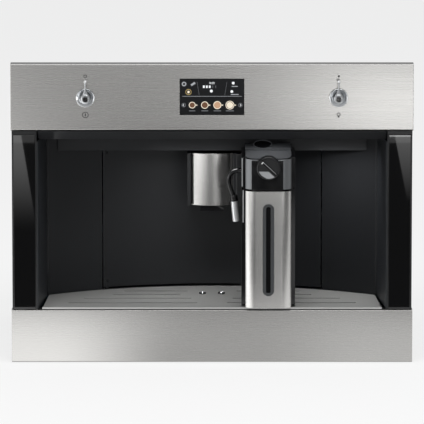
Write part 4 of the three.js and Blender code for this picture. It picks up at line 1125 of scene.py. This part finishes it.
# ---------------- the milk jug
@dataclass
class MilkJug(SubAssembly):
    """Docked milk jug: steel shell, window, body, head, lid and button."""

    rounded: Rows = (
        ("jug_body", "jug_container", Look.GLOSS_ABS, 1.2, 3),
        ("jug_head", "jug_head_housing", Look.GLOSS_ABS, 1.0, 3),
        ("jug_window", "window_frame", Look.GREY_ABS, 0.35),
    )
    # Each slanted top: node, piece, finish, edge's width and how far below the rim it is cut.
    slanted: Rows = (
        ("jug_lid", "jug_cover", Look.LID_LACQUER, 0.5, 0.0),
        ("clean_button", "clean_key", Look.GLOSS_ABS, 0.8, 0.9),
    )
    inlay_half_mm: float = 23.5
    inlay_x_mm: float = -1.5
    slant_deg: float = 17.0
    curve_mm: float = 20.0
    crease_deg: float = 50.0
    curve_steps: int = 12
    sheet_mm: float = 1.2
    slot_half_mm: float = 3.4
    slot_ends_mm: float = 8.0
    window_gap_mm: float = 0.2
    head_proud_mm: float = 0.15
    slant_rear_mm: float = 1.6

    def details(self) -> None:
        """Bend the steel, slant the ring and the button, and add the slot, the inlay and the painted highlights on the
        left shoulder.
        """
        self.pane = self.shop.box("jug_window")
        self.steel = self.shop.box("jug_shell")
        self.head = self.shop.box("jug_head")
        self.shell()
        for node, name, look, edge_mm, sunk_mm in self.slanted:
            self.slant(self.shop.refined(node, name, look, edge_mm, 3), sunk_mm)
        self.trims_and_highlights()

    def front_sheet(self, name: str, bottom: float, top: float, proud_mm: float = 0.0) -> Piece:
        """Bend the steel front's plan: flat, a wide curve, a crease, then straight back.

        Args:
            name: The piece's name.
            bottom: Height of its lower edge.
            top: Height of its upper edge.
            proud_mm: How far it stands in front of the shell's face.

        Returns:
            The sheet.
        """
        middle, half = self.steel.x, self.steel.half
        inner = self.curve_mm * MM - self.sheet_mm * MM / 2
        curve_x = half - self.curve_mm * MM * math.sin(math.radians(self.crease_deg))
        curve_y = self.steel.low.y + self.curve_mm * MM
        route = [(half - self.sheet_mm * MM / 2, self.steel.high.y)]
        for step in range(self.curve_steps + 1):
            angle = math.radians(self.crease_deg * (1 - step / self.curve_steps))
            route.append((curve_x + inner * math.sin(angle), curve_y - inner * math.cos(angle)))
        proud = proud_mm * MM
        plan = [(middle - x, y - proud) for x, y in route]
        plan += [(middle + x, y - proud) for x, y in reversed(route)]
        curve = bpy.data.curves.new(name, "CURVE")
        curve.dimensions = "2D"
        curve.fill_mode = "NONE"
        curve.extrude = (top - bottom) / 2
        spline = curve.splines.new("POLY")
        spline.points.add(len(plan) - 1)
        for point, (x, y) in zip(spline.points, plan):
            point.co = (x, y, 0, 1)
        strip = linked(name, curve)
        strip.location.z = (top + bottom) / 2
        piece = meshed(strip, name)
        modify(piece, "SOLIDIFY", thickness=self.sheet_mm * MM, offset=0.0, use_even_offset=True)
        outward(piece)
        return piece

    def shell(self) -> None:
        """Bend the steel front, cut the window's opening, and bend the head's silver front."""
        sheet = self.front_sheet("jug_steel", self.steel.low.z, self.steel.high.z)
        middle, half = self.pane.x, self.pane.half + self.window_gap_mm * MM
        front = self.steel.low.y - 2 * MM
        low, high = self.pane.low.z + half, self.pane.high.z - half
        back = front + 6 * MM
        cut(sheet, block("tool", (middle - half, front, low), (middle + half, back, high)))
        for z in (low, high):
            profile = [(half / MM, -6.0), (half / MM, 0.0)]
            cut(sheet, turned("tool", profile, Vector((middle, front, z)), Axis.FRONT, 48))
        soften(sheet, 0.25)
        self.shop.fit(sheet, "jug_shell", Look.DRAWN_STEEL, replaces=True)
        low, high = self.steel.high.z + 3.2 * MM, self.head.high.z - 0.2 * MM
        face = self.front_sheet("head_front", low, high, self.head_proud_mm)
        soften(face, 0.3)
        self.shop.fit(face, "jug_head", Look.SILVER_LACQUER)

    def slant(self, piece: Piece, sunk_mm: float) -> None:
        """Cut the ring's or the button's top down towards the front.

        Args:
            piece: The ring's or the button's piece.
            sunk_mm: How far below the ring's rim the cut runs.
        """
        key = self.shop.box("clean_button")
        top = self.shop.box("jug_lid").high.z
        reach = 30 * MM
        tool = block("tool", (-reach, -reach, 0), (reach, reach, reach))
        place = (key.x, key.high.y + self.slant_rear_mm * MM, top - sunk_mm * MM)
        cut(piece, placed(tool, place, (self.slant_deg, 0, 0)))
        soften(piece, 0.0)

    def trims_and_highlights(self) -> None:
        """Add the window's dark slot, the head's black inlay and pale strips down the left shoulder's edge, painted
        highlights.
        """
        pane, steel, head = self.pane, self.steel, self.head
        half, ends = self.slot_half_mm * MM, self.slot_ends_mm * MM
        depth = pane.low.y + MM
        low = (pane.x - half, depth, pane.low.z + ends - half)
        high = (pane.x + half, depth + 0.4 * MM, pane.high.z - ends + half)
        self.shop.fit(block("window_slot", low, high), "jug_window", Look.BLACK_GLASS)

        half, x = self.inlay_half_mm * MM, head.x + self.inlay_x_mm * MM
        low = (x - half, steel.low.y - 0.35 * MM, head.high.z - 45.4 * MM)
        high = (x + half, steel.low.y + 2.0 * MM, head.high.z - 2.2 * MM)
        self.shop.fit(block("head_inlay", low, high, 0.3), "jug_head", Look.GLOSS_ABS)

        # Pale strips on the left shoulder only, the lit side: a painted highlight of its edge.
        face, left = steel.high.y + 0.3 * MM, head.low.x + 0.3 * MM
        for group, inset_mm, bottom, top in (
            ("head", 0.0, steel.high.z + 4.2 * MM, head.high.z - 1.4 * MM),
            ("body", 1.5, steel.high.z - 50 * MM, steel.high.z - 1.5 * MM),
        ):
            x = left + inset_mm * MM
            low, high = (x, face - 0.5 * MM, bottom), (x + 1.7 * MM, face + 0.6 * MM, top)
            strip = block(f"shoulder_trim_{group}", low, high, 0.4)
            self.shop.fit(strip, f"jug_{group}", Look.PAINTED_LIGHT_GREY)


@dataclass
class FrothDial(SubAssembly):
    """Knurled froth dial with a diagonal grip."""

    ribs: int = 36
    deep_mm: float = 11.0
    grip_deg: float = 43.0
    patch_lean_deg: float = 14.0
    patch_deep_mm: float = 5.0

    def details(self) -> None:
        """Build the knob, the grip with its printed mark and painted highlight line, and the pale patch of painted
        reflection.
        """
        self.dial = self.shop.box("froth_dial")
        self.radius = self.dial.half / MM
        back = self.shop.box("jug_shell").low.y - 0.3 * MM
        self.foot = Vector((self.dial.x, back - (self.deep_mm - 1.3) * MM, self.dial.z))
        self.knob(back)
        self.grip()
        self.reflection_patch()

    def knob(self, back: float) -> None:
        """Turn the disc and set the ribs round it.

        Args:
            back: Where the disc's back stands along Y.
        """
        radius, face = self.radius, self.deep_mm
        profile = [
            (3.0, -8.0), (3.0, 0.0), (radius - 1.4, 0.0), (radius - 0.6, 0.6),
            (radius - 0.6, face - 2.4), (radius - 1.2, face - 0.8), (radius - 2.4, face - 0.2),
            (radius - 3.2, face - 0.2), (radius - 3.8, face - 1.2), (radius - 5.0, face - 1.4),
            (2.0, face - 1.2),
        ]
        x, z = self.dial.x, self.dial.z
        parts = [turned("disc", profile, Vector((x, back, z)), Axis.FRONT, 96, 45)]
        low = (-0.55 * MM, -(face - 2.6) * MM, -0.7 * MM)
        rib = block("rib", low, (0.55 * MM, -0.8 * MM, 0.7 * MM), 0.35)
        reach = (radius - 0.75) * MM
        for step in range(self.ribs):
            angle = 2 * math.pi * step / self.ribs
            place = (x + reach * math.sin(angle), back, z + reach * math.cos(angle))
            parts.append(copied(rib, place, (0, math.degrees(angle), 0)))
        bpy.data.objects.remove(rib)
        self.shop.fit(joined(parts, "froth_knob"), "froth_dial", Look.BLACK_ABS, replaces=True)

    def grip(self) -> None:
        """Build the grip bar from upper left to lower right, with its printed mark and a pale line along its
        upper-right edge, a painted highlight.
        """
        long = self.radius - 1.0
        tall = self.foot.y - self.dial.low.y - 0.1 * MM
        turn = (0, self.grip_deg, 0)
        bar = block("froth_grip", (-long * MM, -tall, -3.0 * MM), (long * MM, 0, 3.0 * MM))
        with edit(bar) as mesh:
            bpy.ops.mesh.select_mode(type="FACE")
            bpy.ops.mesh.select_all(action="DESELECT")
            for face in mesh.faces:
                face.select_set(face.normal.y < -0.9)
            bmesh.update_edit_mesh(bar.data)
            bpy.ops.transform.resize(value=(0.97, 1, 0.62), center_override=(0, -tall, 0))
        soften(bar, 0.9, 4)
        self.shop.fit(placed(bar, self.foot, turn), "froth_dial", Look.GLOSS_ABS)
        lift = Vector((0, -tall, 0))
        # The second row is a pale strip along the grip's upper-right edge: a painted highlight.
        for name, low, high, look in (
            ("froth_mark", (-long + 4.2, -0.06, -1.9), (-long + 6.0, 0.3, 1.9), Look.PALE_MARK),
            ("froth_highlight_line", (-long + 5.0, -0.05, 1.35), (long - 3.0, 0.3, 1.95), Look.PAINTED_LIGHT_GREY),
        ):
            piece = block(name, Vector(low) * MM + lift, Vector(high) * MM + lift, 0.1)
            self.shop.fit(placed(piece, self.foot, turn), "froth_dial", look)

    def reflection_patch(self) -> None:
        """Fit a pale patch below the grip, a painted reflection on the dial's face; it leans down and to the left."""
        lean, deep = self.patch_lean_deg, self.patch_deep_mm
        reach = self.radius - 2.6
        rim = reach * math.tan(math.radians(lean))
        profile = [(0.1, -deep), (reach, -deep), (reach, rim + 1), (0.1, rim + 1)]
        plate = turned("froth_reflection_patch", profile, ORIGIN, Axis.FRONT, 72)
        cut(plate, block("tool", Vector((-40, -20, -3.2)) * MM, Vector((40, 20, 40)) * MM))
        tool = block("tool", Vector((-40, -40, -40)) * MM, Vector((40, 0, 40)) * MM)
        cut(plate, placed(tool, (0, -(rim + 0.5) * MM, 0), (lean, 0, 0)))
        placed(plate, self.foot, (0, self.grip_deg, 0))
        low, high = Vector((40, 40, 5.0)) * MM, Vector((40, 40, 40)) * MM
        cut(plate, block("tool", self.foot - low, self.foot + high))
        soften(plate, 0.0)
        self.shop.fit(plate, "froth_dial", Look.PAINTED_LIGHT_GREY)


@dataclass
class MilkOutlet(SubAssembly):
    """Swivelling milk tube with its chrome nozzle."""

    tube_mm: float = 3.6
    tilt_deg: float = 5.6
    end_mm: tuple[float, float, float] = (-11.2, 0, -44.0)
    collar_mm: float = 7.0
    nozzle_mm: float = 2.5
    smooth_deg: float = 40.0
    route_mm: Profile = (
        (-4.7, 0.0), (0.0, 0.0), (7.0, -0.4), (13.5, -3.0), (17.8, -8.6), (18.6, -17.0),
        (16.6, -27.0), (13.6, -35.0), (11.8, -41.0),
    )

    def details(self) -> None:
        """Build the tube with its collar, then the nozzle."""
        joints = self.shop.frame["joints"]
        pivot = Vector(next(j["pos_m"] for j in joints if j["name"] == "milk_spout_swivel"))
        tilt = math.radians(self.tilt_deg)
        heading = Vector((math.sin(tilt), 0, -math.cos(tilt)))
        end = pivot + Vector(self.end_mm) * MM
        collar_profile = [
            (4.2, 0.0), (5.6, 0.6), (5.9, 1.6), (5.9, 6.4), (6.4, 6.9), (6.4, 9.2), (5.8, 9.5),
        ]
        collar = turned("collar", collar_profile, ORIGIN, Axis.UP, 48)
        self.aim(collar, end - heading * self.collar_mm * MM, heading)
        piece = joined([self.tube(pivot), collar], "milk_pipe")
        self.shop.fit(piece, "milk_spout", Look.GLOSS_ABS, replaces=True)
        nozzle_profile = [
            (3.2, 0.3), (4.5, 0.3), (5.0, 0.9), (5.0, 3.0), (4.7, 3.3), (4.7, 3.8), (5.0, 4.1),
            (5.0, 27.0), (4.8, 27.4), (4.8, 28.0), (5.0, 28.4), (5.0, 30.2), (4.5, 31.0),
            (3.2, 31.0), (3.2, 0.3),
        ]
        nozzle = turned("milk_nozzle_tip", nozzle_profile, ORIGIN, Axis.UP, 64)
        self.aim(nozzle, end + heading * self.nozzle_mm * MM, heading)
        self.shop.fit(nozzle, "milk_nozzle", Look.NOZZLE_TUBE, replaces=True)

    def tube(self, pivot: Vector) -> Piece:
        """Draw the round tube along its smooth route.

        Args:
            pivot: The swivel's centre on the tube's middle line.

        Returns:
            The tube as a closed mesh at the origin.
        """
        curve = bpy.data.curves.new("tube", "CURVE")
        curve.dimensions = "3D"
        curve.bevel_depth = self.tube_mm * MM
        curve.bevel_resolution = 8
        curve.resolution_u = 10
        curve.use_fill_caps = True
        spline = curve.splines.new("BEZIER")
        spline.bezier_points.add(len(self.route_mm) - 1)
        for point, (x, z) in zip(spline.bezier_points, self.route_mm):
            point.co = pivot + Vector((-x, 0, z)) * MM
            point.handle_left_type = point.handle_right_type = "AUTO"
        piece = meshed(linked("tube", curve), "tube")
        outward(piece)
        bpy.ops.object.shade_smooth_by_angle(angle=math.radians(self.smooth_deg))
        return piece

    def aim(self, piece: Piece, place: Vector, heading: Vector) -> None:
        """Turn a piece from +Z to a heading, put it in place and shade it.

        Args:
            piece: The piece, turned about +Z.
            place: Where its start goes.
            heading: The way it then points.
        """
        piece.rotation_mode = "QUATERNION"
        piece.rotation_quaternion = Vector((0, 0, 1)).rotation_difference(heading)
        piece.location = place
        settle(piece)
        soften(piece, 0.0, angle=self.smooth_deg)


# ---------------- casing and inside
@dataclass
class Casing(SubAssembly):
    """Galvanised casing with its screws, the runners and the mains inlet."""

    rounded: Rows = (
        *both("side_panel", "side_sheet", Look.ZINC, 0.3),
        ("top_cover", "top_sheet", Look.ZINC, 0.3),
        ("rear_panel", "rear_sheet", Look.ZINC, 0.3),
        ("base_pan", "floor_sheet", Look.ZINC, 0.3),
        *both("rail_outer", "runner_outer", Look.ZINC, 0.3),
        *both("rail_middle", "runner_middle", Look.ZINC, 0.3),
        *both("rail_inner", "runner_inner", Look.ZINC, 0.3),
        ("rail_crossbar", "runner_crossbar", Look.ZINC, 0.3),
        ("mains_inlet", "inlet_housing", Look.BLACK_ABS, 0.4),
        ("bean_lid", "bean_cover", Look.BLACK_ABS, 0.3),
    )
    screw_mm: float = 4.2
    inset_mm: float = 9.0
    lower_row_mm: float = 20.0

    def details(self) -> None:
        """Fix the rear sheet and the two side sheets with a few screws each."""
        inset = self.inset_mm * MM
        low, high = self.shop.box("rear_panel")
        columns = (low.x + inset, 0, high.x - inset)
        places = [Vector((x, high.y, z)) for x in columns for z in (low.z + inset, high.z - inset)]
        self.screws("rear_sheet_screws", "rear_panel", Axis.BACK, places)
        for side, sign in SIDES:
            panel = self.shop.box(f"side_panel_{side}")
            face, axis = (panel.low.x, Axis.LEFT) if sign < 0 else (panel.high.x, Axis.RIGHT)
            levels = (panel.high.z - inset, panel.z + self.lower_row_mm * MM)
            rows = (panel.low.y + 2 * inset, panel.high.y - 2 * inset)
            places = [Vector((face, y, z)) for y in rows for z in levels]
            self.screws(f"side_sheet_screws_{side}", f"side_panel_{side}", axis, places)

    def screws(self, name: str, node: str, axis: Axis, places: Sequence[Vector]) -> None:
        """Fit a group of pan-head screws with cross recesses to a sheet, as one piece.

        Args:
            name: The piece's name.
            node: The sheet's node.
            axis: The way the heads point.
            places: Their centres on the sheet's face.
        """
        r = self.screw_mm
        profile = [(r, 0.0), (r, 0.5), (r * 0.9, 1.3), (r * 0.6, 1.9), (r * 0.2, 2.1)]
        head = turned("screw", profile, ORIGIN, Axis.UP, 24)
        long, thin = r * 0.6 * MM, r * 0.12 * MM
        for x, y in ((long, thin), (thin, long)):
            cut(head, block("tool", (-x, -y, 1.1 * MM), (x, y, 3 * MM)))
        soften(head, 0.0, angle=40)
        piece = joined([copied(head, place, axis.value) for place in places], name)
        bpy.data.objects.remove(head)
        self.shop.fit(piece, node, Look.SATIN_CHROME)


@dataclass
class Inside(SubAssembly):
    """What the casing holds: tank, hopper, grinder, brew unit and the rest."""

    rounded: Rows = (
        ("water_tank", "tank_shell", Look.CLEAR_STYRENE, 1.0, 3),
        ("bean_hopper", "hopper_shell", Look.CLEAR_STYRENE, 0.8),
        ("grinder", "grinder_case", Look.BLACK_ABS, 0.8),
        ("brew_unit", "brew_case", Look.BLACK_ABS, 0.8),
        ("thermoblock", "heater_casting", Look.CAST_METAL, 1.0),
        ("pump", "pump_case", Look.ZINC, 0.6),
    )

    def details(self) -> None:
        """Dress the pieces that stay as the frame has them."""
        self.shop.dress(Look.ZINC, "inner_shelf")
        self.shop.dress(Look.CIRCUIT, "power_board")
        self.shop.dress(Look.BLACK_ABS, "display_module")


# ---------------- studio
@dataclass(frozen=True)
class Fade:
    """How a card's light comes in along one axis, 0 for X, 1 for Y and 2 for Z."""

    axis: int
    dark_mm: float
    lit_mm: float
    curve: str = "SMOOTHSTEP"


Corners = tuple[tuple[float, float, float], ...]


def flat(left: float, right: float, near: float, far: float, height: float) -> Corners:
    """Write the corners of a card that lies level: front pair, then back pair, in millimetres."""
    return tuple((x, y, height) for y in (near, far) for x in (left, right))


@dataclass(frozen=True)
class Card:
    """A reflector that only glossy surfaces see. A solid one is a flag: it hides what is behind."""

    name: str
    corners_mm: Corners
    peak: float
    fades: tuple[Fade, ...] = ()
    solid: bool = False
    one_sided: bool = False

    def build(self) -> None:
        """Stand the card in place, with its glow added to what shows through."""
        bpy.ops.mesh.primitive_plane_add(size=1)
        piece = named(bpy.context.object, self.name)
        for point, corner in zip(piece.data.vertices, self.corners_mm):
            point.co = Vector(corner) * MM
        material = bpy.data.materials.new(self.name + "_glow")
        tree = blank_tree(material)
        place = add_node(tree, "ShaderNodeTexCoord").outputs["Object"]
        along = add_node(tree, "ShaderNodeSeparateXYZ", links={0: place})
        peak = {"operation": "ABSOLUTE", 0: self.peak}
        level = add_node(tree, "ShaderNodeMath", peak).outputs[0]
        for fade in self.fades:
            ends = {"From Min": fade.dark_mm * MM, "From Max": fade.lit_mm * MM}
            part = add_node(
                tree, "ShaderNodeMapRange", {"interpolation_type": fade.curve, **ends},
                {"Value": along.outputs[fade.axis]},
            )
            level = multiply(tree, level, part.outputs["Result"])
        if self.one_sided:
            back = add_node(tree, "ShaderNodeNewGeometry").outputs["Backfacing"]
            facing = {"operation": "SUBTRACT", 0: 1.0}
            facing = add_node(tree, "ShaderNodeMath", facing, {1: back}).outputs[0]
            level = multiply(tree, level, facing)
        white = {"Color": linear(WHITE)}
        surface = add_node(tree, "ShaderNodeEmission", white, {"Strength": level})
        if not self.solid:
            clear = add_node(tree, "ShaderNodeBsdfTransparent").outputs[0]
            added = {0: surface.outputs[0], 1: clear}
            surface = add_node(tree, "ShaderNodeAddShader", links=added)
        add_node(tree, "ShaderNodeOutputMaterial", links={"Surface": surface.outputs[0]})
        piece.data.materials.append(material)
        piece.visible_camera = piece.visible_diffuse = piece.visible_shadow = False
        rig.stage(piece)


# Corners run front-left, front-right, back-left, back-right, as a new plane's points do.
CARDS = (
    Card("dark_flag", flat(-3000, 3000, -2200, -655, 2), 0.11, solid=True),
    # Two short flags that keep the glass strips black down to their lower ends.
    Card("glass_flag_left", flat(-335, -258, -656, -608, 2), 0.11, solid=True),
    Card("glass_flag_right", flat(258, 335, -656, -608, 2), 0.11, solid=True),
    # Two upright cards that the control panel and the niche see.
    Card(
        "left_card",
        ((-1100, -1185, 0), (-279, -1185, 0), (-1100, -1185, 185), (-317, -1185, 185)),
        2.3, (Fade(2, 15, 185),),
    ),
    Card(
        "right_card",
        ((328, -1185, 65), (700, -1185, 65), (298, -1185, 185), (700, -1185, 185)),
        2.1, (Fade(2, 70, 178, "LINEAR"),),
    ),
    Card(
        "left_sheen",
        ((-3400, -1400, 10), (-900, -1800, 10), (-3400, -1400, 1600), (-900, -1800, 1600)),
        1.7, (Fade(0, -900, -1700),),
    ),
    Card(
        "right_sheen",
        ((60, -1190, 178), (700, -1190, 178), (60, -1190, 620), (700, -1190, 620)),
        7.6, (Fade(0, 100, 300), Fade(0, 560, 260), Fade(2, 350, 190, "LINEAR")),
    ),
    # Two that face the spout and the jug from the left, in front of the niche and in it.
    Card(
        "spout_card",
        ((-420, -1100, 30), (-420, -205, 30), (-420, -1100, 420), (-420, -205, 420)),
        1.05, (Fade(1, -1100, -300, "LINEAR"),), one_sided=True,
    ),
    Card(
        "jug_card",
        ((-236, -196, 92), (-236, -110, 92), (-236, -196, 325), (-236, -110, 325)),
        1.1, (Fade(1, -112, -150),), one_sided=True,
    ),
    # A pale strip on the floor that the jug's flat front sees, brighter towards its right.
    Card(
        "jug_sheen", flat(90, 240, -1500, -700, 5), 1.0, (Fade(0, 90, 150), Fade(0, 240, 200)),
    ),
    # Two just off the floor that the lower panel sees.
    Card("floor_card_left", flat(-700, -40, -620, -190, 0.5), 1.36, (Fade(0, -50, -240),)),
    Card("floor_card_right", flat(40, 700, -620, -190, 0.5), 0.36, (Fade(0, 60, 240),)),
)


@dataclass
class Studio:
    """Pale floor, soft lamps and the camera at the photograph's angle."""

    front: float
    height: float
    distance: float = 9.0
    pitch_deg: float = 10.0
    lens_mm: float = 514.4
    aim_lift_mm: float = 3.05
    floor_size: float = 44.0
    floor_glow: float = 0.72
    world_glow: float = 0.5
    hood_spread_deg: float = 95.0

    def build(self) -> None:
        """Set up the camera, the world, the floor and the lamps."""
        self.camera()
        self.world()
        self.floor()
        self.lamps()
        for card in CARDS:
            card.build()
        bpy.context.scene.view_settings.view_transform = "Standard"

    def camera(self) -> None:
        """Place the long lens in front, ten degrees above the level."""
        pitch = math.radians(self.pitch_deg)
        target = Vector((0, self.front, self.height / 2 + self.aim_lift_mm * MM))
        back = Vector((0, -math.cos(pitch), math.sin(pitch)))
        data = bpy.data.cameras.new("camera")
        data.lens = self.lens_mm
        data.sensor_width = 36.0
        data.clip_end = 100.0
        camera = linked("camera", data)
        camera.location = target + back * self.distance
        camera.rotation_euler = (math.pi / 2 - pitch, 0, 0)
        bpy.context.scene.camera = camera

    def world(self) -> None:
        """Light the room with one plain grey."""
        world = bpy.data.worlds.new("studio")
        tree = blank_tree(world)
        grey = {"Color": linear("#F4F5F6"), "Strength": self.world_glow}
        light = add_node(tree, "ShaderNodeBackground", grey)
        add_node(tree, "ShaderNodeOutputWorld", links={"Surface": light.outputs[0]})
        bpy.context.scene.world = world

    def floor(self) -> None:
        """Lay a plain white floor that keeps the machine's soft shadow."""
        bpy.ops.mesh.primitive_plane_add(size=self.floor_size)
        plane = settle(named(bpy.context.object, "studio_floor"))
        material = bpy.data.materials.new("matt_white_paint")
        tree = blank_tree(material)
        paint = add_node(tree, "ShaderNodeBsdfDiffuse", {"Color": linear("#F2F2F2")})
        glow = add_node(tree, "ShaderNodeEmission", {"Color": linear(WHITE), "Strength": 1.0})
        rays = add_node(tree, "ShaderNodeLightPath").outputs
        seen = rays["Is Camera Ray"]
        for ray in ("Is Glossy Ray", "Is Transmission Ray"):
            pair = {0: seen, 1: rays[ray]}
            seen = add_node(tree, "ShaderNodeMath", {"operation": "MAXIMUM"}, pair).outputs[0]
        part = multiply(tree, seen, self.floor_glow)
        shaders = {0: part, 1: paint.outputs[0], 2: glow.outputs[0]}
        mixed = add_node(tree, "ShaderNodeMixShader", links=shaders)
        add_node(tree, "ShaderNodeOutputMaterial", links={"Surface": mixed.outputs[0]})
        plane.data.materials.append(material)
        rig.stage(plane)

    def lamps(self) -> None:
        """Hang the soft box overhead and the small lamps under the hood."""
        self.soft_box("overhead", (0.12, -1.2, 2.6), (0, 0, 0.2), (2.4, 1.6), 42)
        for name, x, wide, power in (
            ("hood_light_left", -0.03, 0.12, 0.1), ("hood_light_right", 0.19, 0.08, 0.09),
        ):
            lamp = self.soft_box(name, (x, -0.13, 0.326), (x, -0.05, 0.18), (wide, 0.02), power)
            lamp.data.spread = math.radians(self.hood_spread_deg)
        place, aim = (0.084, -0.15, 0.3325), (0.084, -0.15, 0.1)
        lid_light = self.soft_box("lid_light", place, aim, (0.07, 0.06), 0.035)
        lid_light.visible_glossy = False

    @staticmethod
    def soft_box(
        name: str, place: Sequence[float], aim: Sequence[float], size: Sequence[float], power: float
    ) -> Piece:
        """Add one area lamp.

        Args:
            name: The lamp's name.
            place: Its centre.
            aim: The point that it faces.
            size: Its width and height.
            power: Its power in watts.

        Returns:
            The lamp.
        """
        data = bpy.data.lights.new(name, "AREA")
        data.shape = "RECTANGLE"
        data.size, data.size_y = size
        data.energy = power
        lamp = linked(name, data)
        lamp.location = place
        lamp.rotation_euler = (Vector(aim) - Vector(place)).to_track_quat("-Z", "Y").to_euler()
        lamp.visible_camera = False
        return lamp


# ---------------- the whole
def write_size(cad: tuple[Vector, Vector]) -> None:
    """Write the CAD model's box and the dressed model's box.

    Args:
        cad: Lowest and highest corner straight after loading.
    """
    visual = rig.bounds()
    with open(SIZE_FILE, "w") as out:
        json.dump({"cad": [list(c) for c in cad], "visual": [list(c) for c in visual]}, out)


def main() -> None:
    """Build the studio, dress every sub-assembly and report the pieces."""
    logging.basicConfig(level=logging.INFO, format="%(name)s: %(message)s")
    shop = Workshop()
    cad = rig.bounds()
    Studio(front=shop.front, height=shop.box("control_panel").high.z).build()
    levers = [Lever(shop, side=side) for side, _ in SIDES]
    groups = (
        ControlFront, Display, SideColumns, Niche, TrayDrawer, ServiceDoor, CoffeeSpout, MilkJug,
        FrothDial, MilkOutlet, Casing, Inside,
    )
    for group in levers + [kind(shop) for kind in groups]:
        group.build()
        LOG.info("%s is built", type(group).__name__)
    write_size(cad)


if __name__ == "__main__":
    main()
